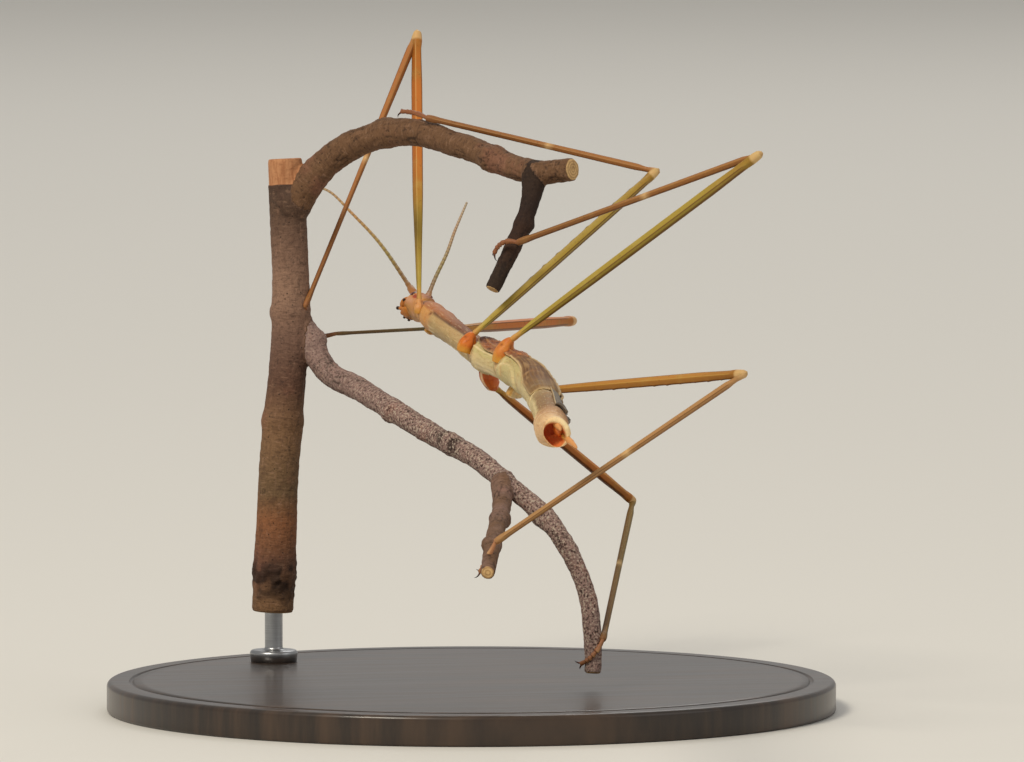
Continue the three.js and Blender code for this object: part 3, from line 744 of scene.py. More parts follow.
def body_relief(along, angle):
    """Height added to the body's radius, in millimetres, and how dark and how pale each point is.
    Seams are bell-shaped grooves with a rim before them; each plate swells by a half sine between its
    seams; the plate under the hind thorax is a raised oval; folds are bell-shaped ridges at set
    angles; fibres and grains are noise. The paleness also holds painted highlights: on the ridge
    under the thorax, on the top rims of the hind chest and on the streaks behind the neck shield."""
    body = settings("stick_body")
    groove, rim = body.groove / MM, body.rim / MM
    off_back = arc_gap(angle, 0)
    gap = along[..., None] - SEAMS[:, 0]
    seams = (SEAMS[:, 1] * hump(gap, 0, 0.2)).sum(-1)
    rims = (SEAMS[:, 1] * hump(gap, -0.45, 0.25)).sum(-1)
    pale_rims = (SEAMS[:, 2] * hump(gap, -0.45, 0.25)).sum(-1)
    phase = np.interp(along, SEAMS[:, 0], np.arange(len(SEAMS))) % 1
    abdomen = zone(along, 54, 110, 3)
    thorax = zone(along, 12.5, 29.5, 0.8)
    shield = zone(along, 5, 10, 0.6)
    back_edge = hump(off_back - strip_edge(along), 0, 6) * thorax
    keel = hump(off_back, 0, 5) * (thorax + 0.7 * shield)
    belly = hump(off_back, 150, 9) * thorax
    middle, half_long, half_wide = BELLY_PLATE
    plate = np.hypot((along - middle) / half_long, (180 - off_back) / half_wide)
    plate_rim = hump(plate, 0.9, 0.06) * (0.25 + 0.75 * smooth(0.2, -0.6, (along - middle) / half_long))
    chest = zone(along, 31.6, 43.0, 0.4) * smooth(106, 116, off_back)
    # Raised rims of the hind chest plates, painted pale as highlights.
    chest_rim_and_highlight = hump(off_back, 113, 3) * zone(along, 32.5, 41, 1)
    chest_rim_and_highlight = chest_rim_and_highlight + hump(off_back, 172, 4) * zone(along, 34, 42, 1)
    fold = hump(off_back, 132, 5) * zone(along, 72, 108, 3)
    grid = np.stack((along * 0.45, 7 * np.sin(angle), 7 * np.cos(angle)), axis=-1)
    fibres = lumps(grid, 1.6, 3) + 0.6 * lumps(grid, 3.6, 5)
    grains = round_lumps(along * 1.7, angle, 3, 1.9, 8)
    grains = smooth(0.5, 0.8, grains) * (thorax + 0.4 * shield) * smooth(135, 120, off_back)
    pits = sum(hump(along, at, 0.55) * hump(arc_gap(angle, turn), 0, 9) for at, turn in PITS)
    # Raised streaks behind the neck shield, painted pale as highlights on their folds.
    streaks_and_highlights = smooth(0.25, 0.6, lumps(grid * np.array((0.5, 1.2, 1.2)), 1.2, 11))
    streaks_and_highlights = 1.3 * (streaks_and_highlights * zone(along, 12.5, 17.5, 0.8)) * smooth(146, 154, off_back)
    # A raised ridge under the thorax, also painted pale as backlight shining through its edge.
    under_ridge_backlight = hump(arc_gap(angle, 197), 0, 8) * zone(along, 20, 42, 3)
    broad = round_lumps(along * 0.55, angle, 1.7, 1.0, 15)
    wrinkles = lumps(grid, 1.0, 16)
    height = (-groove * seams + rim * rims + 0.08 * abdomen * np.sin(math.pi * phase)
              + 0.2 * (1 - smooth(0.82, 1.0, plate)) + 0.06 * plate_rim + 0.1 * chest + 0.05 * chest_rim_and_highlight
              + 0.06 * fold + 0.06 * keel - 0.05 * back_edge + 0.04 * belly
              + 0.02 * fibres + 0.07 * grains - 0.16 * pits + 0.06 * streaks_and_highlights + 0.06 * under_ridge_backlight
              + 0.04 * broad * (1 + zone(along, 102, 118, 4)) + 0.03 * wrinkles * zone(along, 56, 118, 4)
              - 0.07 * hump(along, 7.3, 0.22) * smooth(100, 70, off_back))
    outline = 0.5 * hump(plate, 1.06, 0.05) * smooth(1.5, 3.0, along - 43.5)
    dark = 1.3 * back_edge + 1.2 * pits + 0.5 * outline + 0.3 * seams * zone(along, 108, 116, 1)
    pale = (0.9 * plate_rim + pale_rims * smooth(80, 110, off_back) + 1.1 * chest_rim_and_highlight + 0.5 * fold + streaks_and_highlights
            + 0.9 * under_ridge_backlight)
    return height, np.clip(dark, 0, 1), np.clip(pale, 0, 1)


def body_patch():
    """The body from neck to tail: an ellipse with eased width and height plus the relief, closed by
    the cup at its tail, whose rim is longer above than below."""
    outer = np.arange(BODY_FROM, TAIL_END, BODY_STEP)
    along = np.concatenate((outer, TAIL_END + CUP_ROWS[:, 0]))
    share = np.concatenate((np.ones(len(outer)), CUP_ROWS[:, 1]))
    inside = np.concatenate((np.zeros(len(outer)), smooth(0.9, 0.7, CUP_ROWS[:, 1])))
    along, angle = sheet(along, BODY_SIDES)
    share, inside = share[:, None], inside[:, None]
    reach = 0.28 * np.cos(angle) - 0.22 * np.abs(np.sin(angle)) - 0.1
    along = along + reach * smooth(115.5, TAIL_END, along)
    wide, high = eased(GIRTH, np.minimum(along, TAIL_END)) / 2
    height, dark, pale = body_relief(along, angle)
    height = height * (1 - inside)
    ring, glow = socket_relief(BODY_PATH.tube(along, angle, (wide + height) * share, (high + height) * share))
    height = height - 0.06 * ring * (1 - inside)
    grid = BODY_PATH.tube(along, angle, (wide + height) * share, (high + height) * share)
    _, _, side, top = BODY_PATH.frame(along)
    grid = grid + (top * CUP_SHIFT[1] + side * CUP_SHIFT[0]) * smooth(1.0, 0.78, share)[..., None]
    # Painted highlight on the top of the tail's rim.
    arc = hump(arc_gap(angle, 20), 0, 60) * smooth(117.2, 118.8, along) * (1 - inside)
    # The ring round each hip root darkens its groove: painted shade.
    marks = (np.clip(dark + 0.55 * ring, 0, 1), np.clip(pale + arc, 0, 1), glow * (1 - inside) + 2 * inside)
    return Patch(grid, (along, np.cos(angle), np.sin(angle)), marks, 0)


def head_patch():
    """The head along its bent line: an eased ellipse with swellings at the brow, cheeks and back, and
    grooves for the crown, the cheeks and the lip plates."""
    start, middle, end = (place(point) for point in HEAD_LINE)
    path = Path(bend(start, middle, end, 200), BACK)
    skull = np.linspace(-0.02, 0.98, 88)
    share = np.concatenate((skull, 0.98 + np.array((0.02, 0.035, 0.045, 0.05))))
    size = np.concatenate((np.ones(len(skull)), (0.9, 0.7, 0.4, 0.1)))[:, None]
    share, angle = sheet(share, 72)
    wide, high = eased(HEAD_GIRTH, np.clip(share, 0, 1)) / 2
    off_back = arc_gap(angle, 0)
    brow = hump(share, 0.72, 0.12) * hump(off_back, 62, 22)
    cheek = hump(share, 0.6, 0.2) * hump(off_back, 125, 26)
    nape = hump(share, 0.24, 0.1) * hump(off_back, 30, 30)
    crown = hump(off_back, 0, 3.5) * zone(share, 0.12, 0.6, 0.06)
    lines = hump(off_back, 27, 3) * zone(share, 0.15, 0.5, 0.08)
    gena = hump(off_back, 98, 4) * zone(share, 0.2, 0.75, 0.08)
    lip = hump(share, 0.86, 0.014) + 0.8 * hump(share, 0.93, 0.012)
    lip = lip * smooth(110, 80, off_back)
    scape = sum(hump(share, 0.86, 0.05) * hump(arc_gap(angle, turn), 0, 16) for turn in (44, -44))
    skin = 0.02 * round_lumps(share * 9, angle, 2.4, 1.7, 4)
    skin = skin + 0.012 * round_lumps(share * 9, angle, 2.4, 4.5, 6)
    height = (0.14 * brow + 0.12 * cheek + 0.08 * nape - 0.06 * crown - 0.035 * lines - 0.05 * gena
              - 0.06 * lip + 0.08 * scape + skin)
    grid = path.tube(share * path.length, angle, (wide + height) * size, (high + height) * size)
    crease = hump(off_back - 150 - 60 * (0.8 - share), 0, 5) * zone(share, 0.45, 0.88, 0.05)
    pale = (0.7 * hump(off_back, 178, 6) * zone(share, 0.1, 0.55, 0.05) + 0.5 * scape
            + 0.6 * zone(off_back, 112, 134, 8) * zone(share, 0.3, 0.9, 0.1))
    golden = smooth(136, 154, off_back) * smooth(0.15, 0.4, share) + 0.7 * smooth(0.28, 0.08, share)
    patch = hump(share, 0.4, 0.11) * hump(off_back, 97, 12)
    marks = (np.clip(crown + lines + gena + lip + crease, 0, 1), np.clip(pale, 0, 1),
             np.clip(golden, 0, 1) - 1.2 * patch)
    return Patch(grid, spread(share, angle), marks, 1)


def cercus_patch(side):
    """A tail prong: a flattened cone from inside the tail's cup."""
    sign = 1 if side == "left" else -1
    centre, slope, across, top = BODY_PATH.frame(np.array(TAIL_END))
    root, tip = (centre + sign * across * wide + top * high + slope * back
                 for wide, high, back in CERCI[side])
    middle = (root + tip) / 2 + top * 0.12 + slope * 0.2
    path = Path(bend(root, middle, tip), top)
    share, angle = sheet(np.linspace(0, 1, 26), 16)
    radius = np.interp(share, (0, 0.2, 0.55, 0.85, 0.96, 1), (0.3, 0.38, 0.34, 0.2, 0.12, 0.03))
    radius = radius + 0.02 * round_lumps(share * 9, angle, 1, 2, 2)
    grid = path.tube(share * path.length, angle, radius, radius * 0.8)
    return Patch(grid, spread(share, angle), (0, 0.3 * share, 0.1), 2)


def tongue_patch():
    """The small lobe inside the tail's cup: a ball drawn out along the body."""
    share, angle = sheet(np.linspace(0, 1, 20), 20)
    radius = 0.52 * np.sqrt(np.clip(1 - (2 * share - 1) ** 2, 0.002, 1)) * (1 + 0.12 * np.cos(3 * angle))
    along = TAIL_END - 2.1 + 1.75 * share
    grid = BODY_PATH.tube(along, angle, radius, radius * 0.8)
    top = BODY_PATH.frame(np.array(TAIL_END))[3]
    return Patch(grid + top * 0.22, spread(share, angle), (0, 0.4 * share, 0.9), 2)


def antenna_patch(side):
    """An antenna: a swollen first joint, a short second one and a thread with a ring at each joint."""
    path = Path(spline([place(point) for point in ANTENNAE[side]], 400), BACK)
    along, angle = sheet(np.linspace(-0.3, path.length, 210), 10)
    radius = np.interp(
        along, (-0.3, 0, 0.3, 1.2, 1.45, 1.6, 2.1, 2.35, 2.6, 14, path.length - 0.3, path.length),
        (0.3, 0.34, 0.4, 0.36, 0.2, 0.27, 0.27, 0.18, 0.22, 0.18, 0.12, 0.03))
    joint = 1.1
    radius = radius * (1 - 0.16 * hump((along / joint) % 1, 0.5, 0.13) * smooth(2.6, 3, along))
    grid = path.tube(along, angle, radius, radius)
    ring = hump((along / joint) % 1, 0.5, 0.2) * smooth(2.6, 3, along)
    return Patch(grid, (along / path.length, np.cos(angle), np.sin(angle)), (ring, 0, 0), 5)


# ---- Legs ----

LEG_SIDES = 25
KEELS = 5
# Turns, in degrees from the inner keel, of the keels that carry a dark line.
LINED_KEELS = (0, 144, -144)


def keels(angle, turn):
    """How sharply a leg is ridged: five raised, narrowed cosines round it."""
    return (0.5 + 0.5 * np.cos(KEELS * (angle - turn))) ** 3


def underside(path, angle):
    """How squarely a straight leg's surface faces the ground, from 0 to 1: where the legs paint shade on
    their undersides.
    """
    out = path.side[0] * np.sin(angle)[..., None] + path.top[0] * np.cos(angle)[..., None]
    down = (insect_to_world(np.zeros(3)) - insect_to_world(out))[..., 2]
    return smooth(0.35, 0.85, down / down.max())


def coxa_patch(leg):
    """The hip joint: a drop shape on the left and a cone on the right, drawn in to the thigh, with a
    ridge on its front that is painted pale as a highlight, and a crease behind."""
    pair = PAIRS[leg.pair]
    path = coxa_path(leg)
    half, base = leg.coxa[3] / 2, pair.thick[0] / 2
    share, angle = sheet(np.linspace(0, 1, 40), 32)
    drop, cone = (0.92, 1.0, 1.05, 0.97, 0.72), (0.95, 1.12, 1.15, 1.0, 0.86)
    swell = drop if leg.side == "left" else cone
    radius = eased(np.array((
        *zip((0, 0.1, 0.3, 0.52, 0.74), half * np.array(swell)),
        (0.9, base * 1.45), (0.96, base * 1.15), (1.0, base * 0.6),
    )), share)[0]
    grain = round_lumps(share * 3, angle, 1.6, 1.8, 12)
    middle = zone(share, 0.12, 0.84, 0.08)
    ridge = hump(arc_gap(angle, 12), 0, 13) * middle
    if leg.side == "right":
        ridge = hump(arc_gap(angle, 116), 0, 9) + hump(arc_gap(angle, 240), 0, 10)
        ridge = ridge * zone(share, 0.1, 0.95, 0.05)
    crease = hump(arc_gap(angle, 205), 0, 9) * middle * (1.0 if leg.side == "left" else 0.3)
    pit = hump(share, 0.66, 0.05) * hump(arc_gap(angle, 115 if leg.side == "left" else 245), 0, 16)
    radius = radius * (1 + 0.06 * grain + 0.08 * ridge - 0.07 * crease - 0.1 * pit)
    grid = path.tube(share * path.length, angle, radius, radius)
    marks = (np.clip(crease + pit, 0, 1), ridge, leg.tints[1])
    return Patch(grid, spread(share, angle), marks, 2)


def femur_patch(leg):
    """The thigh: five-keeled, swelling from a slim base, with a row of teeth on its inner keel and two
    lobes that hold the shin."""
    _, hip, thigh, knee, shin, *_ = leg_lines(leg)
    pair = PAIRS[leg.pair]
    span, reach = pair.femur, leg.coxa[2]
    base, belly, end, _ = pair.thick
    path = Path(np.linspace(hip, knee, 60), unit(np.cross(thigh, shin)))
    inner = 90.0 if np.dot(path.side[0], shin) > 0 else -90.0
    along = np.concatenate((np.linspace(reach - 0.35, reach + 1.6, 16),
                            np.arange(reach + 1.85, span - 1.6, 0.36),
                            np.linspace(span - 1.5, span + KNEE_PAST, 20)))
    along, angle = sheet(along, LEG_SIDES, math.radians(inner))
    share = along / span
    start = reach / span
    radius = eased(np.array((
        (start - 0.02, base * 0.6), (start + 0.01, base * 1.05), (start + 0.022, base * 0.94),
        (0.16, base * 1.2), (0.45, belly), (0.8, end * 1.03), (0.94, end * 0.9), (0.975, end * 1.1),
        (1.0, end * 0.98), (1.0 + KNEE_PAST / span, end * 0.3),
    )), share)[0] / 2
    ridge = keels(angle, math.radians(inner)) * smooth(start + 0.02, 0.12, share) * smooth(0.985, 0.94, share)
    inside = hump(arc_gap(angle, inner), 0, 14)
    tooth = hump((along / TOOTH_GAP) % 1, 0.5, 0.09) * inside * zone(share, 0.3, 0.93, 0.05)
    relief = settings("stick_legs").keel
    size = radius * (1 + relief * (ridge - 0.35)) + 0.1 * tooth * (leg.pair != "front")
    notch = hump(arc_gap(angle, inner), 0, 38) * smooth(span - 0.6, span + 0.3, along)
    grid = path.tube(along - 0.55 * notch, angle, size, size)
    line = sum(hump(arc_gap(angle, inner + turn), 0, 11) for turn in LINED_KEELS)
    # The dark line also holds painted shade on the side that faces the ground.
    line = np.maximum(line, 0.8 * underside(path, angle)) * zone(share, 0.06, 0.95, 0.03)
    tint = leg.tints[0] + 0.75 * (leg.pair == "front") * smooth(0.3, 0.55, share)
    marks = (np.clip(line, 0, 1), smooth(0.955, 0.985, share), np.clip(tint, 0, 1))
    return Patch(grid, (share, np.cos(angle - math.radians(inner)), ridge), marks, 3)


def tibia_patch(leg):
    """The shin: a hinge ball at the knee, a slim neck, then a five-keeled shaft that widens at the
    ankle."""
    _, _, thigh, knee, shin, ankle, *_ = leg_lines(leg)
    pair = PAIRS[leg.pair]
    span, shank = pair.tibia, pair.thick[3]
    path = Path(np.linspace(knee, ankle, 60), unit(np.cross(thigh, shin)))
    inner = 90.0 if np.dot(path.side[0], thigh) < 0 else -90.0
    along = np.concatenate((np.linspace(-KNEE_PAST, 1.9, 20), np.arange(2.2, span - 1.2, 0.38),
                            np.linspace(span - 1.1, span + 0.1, 10)))
    along, angle = sheet(along, LEG_SIDES, math.radians(inner))
    share = along / span
    radius = eased(np.array((
        (-KNEE_PAST, 0.08), (-0.3, 0.26), (0.0, 0.38), (0.45, 0.35), (1.0, shank * 0.42), (2.2, shank * 0.5),
        (span * 0.5, shank * 0.46), (span * 0.93, shank * 0.44), (span - 0.35, shank * 0.55),
        (span + 0.02, shank * 0.48), (span + 0.1, 0.1),
    )), along)[0]
    if leg.pair == "front":
        radius = radius * (1 - SHIN_THINS[leg.side] * smooth(1.0, span * 0.7, along))
    ridge = keels(angle, math.radians(inner)) * zone(along, 1.6, span - 0.5, 0.5)
    size = radius * (1 + settings("stick_legs").keel * 0.9 * (ridge - 0.35))
    grid = path.tube(along, angle, size, size)
    band = 0.8 * hump(share, 0.465, 0.014) + 0.6 * smooth(0.03, 0.0, share)
    line = sum(hump(arc_gap(angle, inner + turn), 0, 12) for turn in LINED_KEELS)
    # The dark line also holds painted shade on the side that faces the ground.
    line = np.maximum(line, 0.6 * underside(path, angle)) * zone(share, 0.05, 0.97, 0.02)
    marks = (np.clip(line, 0, 1), np.clip(band, 0, 1), leg.tints[2])
    return Patch(grid, (share, np.cos(angle - math.radians(inner)), ridge), marks, 4)


def foot_path(leg):
    _, _, thigh, _, shin, ankle, arch, toe = leg_lines(leg)
    return Path(bend(ankle, arch, toe, 80), unit(np.cross(thigh, shin)))


def tarsus_patch(leg):
    """The foot: five joints, each widening to its end, with a soft pad between the claws."""
    path = foot_path(leg)
    share, angle = sheet(np.linspace(-0.03, 1.0, 76), 14)
    joints = np.array((-0.05, 0.40, 0.56, 0.68, 0.79, 1.02))
    phase = np.interp(share, joints, np.arange(6)) % 1
    radius = 0.19 + 0.09 * phase ** 1.4 - 0.05 * sum(hump(share, joint, 0.012) for joint in joints[1:5])
    radius = radius * np.interp(share, (-0.03, 0, 0.9, 0.97, 1.0), (0.5, 1, 1, 0.95, 0.25))
    pad = 0.06 * phase ** 3 * smooth(60, 20, arc_gap(angle, 180)) * smooth(0.8, 0.76, share)
    grid = path.tube(share * path.length, angle, radius, radius + pad)
    ring = sum(hump(share, joint, 0.02) for joint in joints[1:5])
    return Patch(grid, (1 + share, np.cos(angle), 0 * share), (ring, pad * 9, leg.tints[2]), 4)


def claw_patches(leg):
    """Two curved claws: cones along bent lines that part from the end of the foot."""
    path = foot_path(leg)
    tip, slope, side, top = (values[0] for values in path.frame(np.array([path.length])))
    patches = []
    for sign in (-1, 1):
        root = tip + side * sign * 0.1 - slope * 0.08
        middle = tip + side * sign * 0.4 + slope * 0.42
        end = tip + side * sign * 0.5 + slope * 0.5 - top * 0.34
        claw = Path(bend(root, middle, end), top)
        share, angle = sheet(np.linspace(0, 1, 18), 10)
        radius = 0.1 * (1 - share) ** 0.7 + 0.008
        grid = claw.tube(share * claw.length, angle, radius, radius)
        patches.append(Patch(grid, spread(share, angle), (share, share, share), 0))
    return patches


# ---- Skin materials ----

def cuticle(name, roughness=0.42):
    """A waxy, slightly see-through surface."""
    finish = Finish(name, roughness, subsurface_weight=0.06, coat_roughness=0.3)
    finish.shader.inputs["Subsurface Radius"].default_value = (1.0, 0.55, 0.3)
    finish.shader.inputs["Subsurface Scale"].default_value = 0.0006
    return finish


def body_material():
    """Back, flanks and underside by how many degrees round they lie, in zones along the body, with
    fine lengthwise fibres, cream rims with painted highlights among them, orange round the hips,
    painted shade in the groove round each hip and a dark cup."""
    body = settings("stick_body")
    finish = cuticle("body_cuticle")
    along, back, left, _ = finish.attribute("lie")
    dark, pale, warm, _ = finish.attribute("marks")
    share = along / BODY_LENGTH
    turn = back.math("ARCCOSINE") * (180 / math.pi)
    flank = finish.ramp(share, (
        (0.04, body.gold), (0.10, body.gold), (0.108, srgb(190, 156, 104)), (0.25, srgb(192, 162, 112)),
        (0.266, body.pale), (0.44, body.pale), (0.50, srgb(196, 172, 118)), (0.57, srgb(166, 138, 90)),
        (0.66, srgb(138, 106, 64)), (0.8, srgb(142, 106, 62)), (0.885, srgb(160, 116, 68)),
        (0.94, srgb(198, 154, 108)), (1.0, srgb(240, 200, 146))))
    above = finish.ramp(share, (
        (0.04, srgb(176, 114, 70)), (0.10, srgb(176, 112, 68)), (0.13, srgb(160, 102, 60)),
        (0.19, body.rose), (0.30, srgb(130, 80, 50)), (0.6, body.brown), (0.74, srgb(130, 96, 54)),
        (0.86, srgb(144, 103, 60)), (0.92, srgb(172, 120, 72)), (0.96, body.ring), (1.0, body.cream)))
    below = finish.ramp(share, (
        (0.04, body.gold), (0.10, body.gold), (0.112, srgb(176, 148, 100)), (0.25, srgb(188, 160, 108)),
        (0.27, srgb(216, 192, 142)), (0.40, body.pale), (0.46, srgb(206, 186, 134)),
        (0.84, srgb(196, 174, 120)), (0.92, srgb(216, 172, 124)), (1.0, srgb(212, 172, 122))))
    lengthwise = finish.node("ShaderNodeCombineXYZ", {}, share * 22, back * 2.2, left * 2.2)
    fibres = finish.noise(lengthwise, 3.2, 5, 0.6)
    blotch = finish.grain(650)
    speck = finish.grain(2600, 3)
    wander = (blotch - 0.5) * 22
    past_edge = turn + share * (BACK_TAPER * BODY_LENGTH) + wander * 0.5
    color = finish.mix(past_edge.step(108, 119), above, flank)
    color = finish.paint(color, (
        ((turn + wander + share.step(0.5, 0.62) * 16).step(126, 146), below),
        (fibres.step(0.52, 0.7) * 0.4, srgb(156, 104, 60)),
        (fibres.step(0.46, 0.3) * 0.35, body.cream),
        (blotch.step(0.56, 0.74) * 0.3, srgb(196, 132, 84)),
        (speck.step(0.62, 0.75) * 0.35, srgb(98, 64, 36)),
        (warm.step(0.2, 0.85) * 0.75, body.orange),
        # Cream rims, and painted highlights on ridges of the thorax and on the tail's rim.
        (pale * blotch.step(0.2, 0.45) * 0.85, body.cream),
        # Dark lines and pits, and painted shade in the groove round each hip.
        (dark * 0.8, srgb(84, 44, 28)),
    ))
    lobes = finish.mix((blotch - left * 0.3).step(0.35, 0.65) * 0.9, body.hollow, srgb(232, 132, 70))
    color = finish.mix(warm.step(1.1, 1.8), color, lobes)
    height = fibres * 0.5 + speck * 0.5
    return finish.done(color, 0.42 + 0.25 * blotch, (height, 0.00015, 0.9))


def head_material():
    """Tan-orange head with a pinkish face, golden jaws and nape, a red patch by each eye and dark
    lines in its grooves."""
    body = settings("stick_body")
    finish = cuticle("head_cuticle", 0.4)
    _, back, _, _ = finish.attribute("lie")
    groove, pale, tone, _ = finish.attribute("marks")
    blotch = finish.grain(900)
    speck = finish.grain(3200, 3)
    color = finish.mix((back + (blotch - 0.5) * 0.9).step(0.0, 0.6), body.peach, srgb(160, 96, 58))
    color = finish.paint(color, (
        (blotch.step(0.42, 0.62) * 0.35, srgb(206, 146, 100)),
        (pale * 0.8, srgb(216, 166, 136)),
        (tone.step(0.1, 0.9) * 0.85, srgb(190, 134, 62)),
        (tone.step(-0.1, -0.7), srgb(176, 66, 30)),
        (groove * 0.6, srgb(112, 56, 28)),
        (speck.step(0.6, 0.72) * 0.4, srgb(116, 62, 36)),
    ))
    return finish.done(color, 0.4 + 0.25 * blotch, (speck + blotch, 0.00007, 0.8))


def hip_material():
    """Hips from peach to red-orange, golden by the body, with a painted highlight along the front ridge and
    dark dots.
    """
    body = settings("stick_body")
    finish = cuticle("hip_cuticle", 0.34)
    share, *_ = finish.attribute("lie")
    crease, rim, tint, _ = finish.attribute("marks")
    blotch = finish.grain(1100)
    speck = finish.grain(2800, 3)
    color = finish.ramp(tint, (
        (0.0, srgb(214, 186, 134)), (0.1, srgb(212, 150, 92)), (0.55, srgb(206, 124, 48)),
        (0.85, body.orange), (1.0, srgb(196, 98, 42))))
    color = finish.paint(color, (
        (blotch.step(0.45, 0.7) * tint.step(0.05, 0.4) * 0.45, srgb(176, 66, 20)),
        (blotch.step(0.42, 0.3) * 0.35, srgb(232, 166, 92)),
        (speck.step(0.64, 0.74) * 0.5, srgb(96, 40, 16)),
    ))
    golden = (share + (blotch - 0.5) * 0.3).step(0.42, 0.12) * tint.step(1.0, 0.86)
    color = finish.paint(color, (
        (golden * 0.7, srgb(206, 150, 52)),
        # Painted highlight along the raised ridge.
        (rim.step(0.3, 0.8) * 0.85, srgb(246, 214, 170)),
        (crease * 0.65, srgb(104, 40, 14)),
    ))
    return finish.done(color, 0.3 + 0.25 * blotch, (blotch + speck * 0.5, 0.00012, 0.8))


def femur_material():
    """Thighs from olive to orange with dark lines on three keels, painted shade on the side facing the
    ground and a painted highlight on the keel crests, yellow at the base, pale at the knee."""
    legs = settings("stick_legs")
    finish = cuticle("thigh_cuticle")
    share, inner, ridge, _ = finish.attribute("lie")
    line, knee, tint, _ = finish.attribute("marks")
    blotch = finish.grain(420)
    speck = finish.grain(2400, 3)
    color = finish.mix(tint, legs.olive, legs.ochre)
    color = finish.paint(color, (
        (share.step(0.22, 0.03) * 0.6, srgb(188, 172, 76)),
        ((share + (blotch - 0.5) * 0.05).step(0.085, 0.03) * 0.85, srgb(204, 144, 78)),
        ((share + (blotch - 0.5) * 0.3).step(0.75, 0.98) * 0.6, legs.shin),
        (blotch.step(0.5, 0.72) * 0.3, srgb(188, 168, 92)),
        (inner.step(-0.1, 0.9) * 0.3, legs.edge),
        # Painted highlight on the keel crests.
        (ridge.step(0.6, 0.98) * 0.35, srgb(214, 190, 112)),
        # Dark keel lines, with painted shade on the underside.
        (line.step(0.35, 0.9) * 0.8, legs.edge),
        (speck.step(0.6, 0.72) * 0.35, srgb(92, 62, 28)),
        (knee.step(0.4, 0.9) * 0.6, legs.pale),
    ))
    return finish.done(color, 0.34 + 0.25 * blotch, (speck, 0.00004, 0.6))


def tibia_material():
    """Shins golden brown at the knee and dusky at the ankle, with a pale band, dark keel lines with
    painted shade on the side facing the ground and a painted highlight on the keel crests; feet
    pinkish brown.
    """
    legs = settings("stick_legs")
    finish = cuticle("shin_cuticle")
    share, inner, ridge, _ = finish.attribute("lie")
    line, pale, tint, _ = finish.attribute("marks")
    blotch = finish.grain(420)
    speck = finish.grain(2600, 3)
    color = finish.mix(tint.clamp(), srgb(166, 106, 54), srgb(102, 102, 58))
    color = finish.paint(color, (
        ((share + (blotch - 0.5) * 0.4).step(0.3, 0.95) * 0.5, legs.dusk),
        (tint.step(0.0, -0.4) * 0.8, srgb(174, 134, 88)),
        (blotch.step(0.52, 0.75) * 0.35, srgb(176, 140, 84)),
        (share.step(0.97, 1.03) * 0.6, srgb(158, 100, 72)),
        (inner.step(-0.1, 0.9) * 0.25, legs.edge),
        # Painted highlight on the keel crests.
        (ridge.step(0.6, 0.98) * 0.3, srgb(198, 160, 96)),
        # Dark keel lines, with painted shade on the underside.
        (line.step(0.35, 0.9) * 0.7, legs.edge),
        (speck.step(0.6, 0.72) * 0.35, srgb(72, 40, 26)),
        (pale * 0.75, legs.pale),
    ))
    return finish.done(color, 0.36 + 0.25 * blotch, (speck, 0.00004, 0.6))


def antenna_material():
    finish = cuticle("antenna_cuticle", 0.45)
    share, *_ = finish.attribute("lie")
    ring, *_ = finish.attribute("marks")
    color = finish.ramp(share, (
        (0.0, srgb(176, 116, 66)), (0.06, srgb(164, 120, 70)), (0.25, srgb(146, 128, 66)),
        (0.6, srgb(176, 132, 78)), (1.0, srgb(172, 150, 112))))
    color = finish.mix(ring * 0.5, color, srgb(86, 58, 36))
    return finish.done(color)


class STICK_OT_skin(bpy.types.Operator):
    """Build the one skin of body, head, legs and antennae"""

    bl_idname = "stick.skin"
    bl_label = "Insect skin"

    def execute(self, context):
        patches = [body_patch(), head_patch(), tongue_patch(), cercus_patch("left"), cercus_patch("right")]
        patches += [antenna_patch(side) for side in ANTENNAE]
        for leg in LEGS:
            patches += [coxa_patch(leg), femur_patch(leg), tibia_patch(leg), tarsus_patch(leg)]
        materials = [body_material(), head_material(), hip_material(), femur_material(), tibia_material(),
                     antenna_material()]
        nodes = [f"{part}_{leg.side}_{leg.pair}" for leg in LEGS for part in LEG_PARTS]
        build("insect_skin", patches, materials, (*BODY_NODES, *nodes))
        return {"FINISHED"}


# ---- Eyes, mouthparts and claws ----

def dome_patch(centre, axis, radius, height, rows=24, columns=32):
    """A flattened ball: radius × sin(turn) across, height × cos(turn) along its axis."""
    path = Path(np.linspace(centre - axis * height, centre + axis * height, 60), BACK + 0.01 * AHEAD)
    turn, angle = sheet(np.linspace(0.04, math.pi - 0.04, rows), columns)
    along = height * (1 - np.cos(turn))
    grid = path.tube(along, angle, radius * np.sin(turn), radius * np.sin(turn))
    return Patch(grid, spread(turn / math.pi, angle), (0, 0, 0), 0)


def eye_material():
    """Dark red-brown facets under a clear gloss."""
    finish = Finish("eye_facets", 0.22, coat_weight=0.8, coat_roughness=0.06)
    facets = finish.cells(15000)
    blotch = finish.grain(1500, 3)
    color = finish.mix(blotch.step(0.4, 0.65), srgb(84, 26, 14), srgb(46, 14, 10))
    color = finish.mix(facets.step(0.3, 0.7) * 0.4, color, srgb(120, 52, 30))
    return finish.done(color, bump=(1 - facets, 0.00002, 0.5))


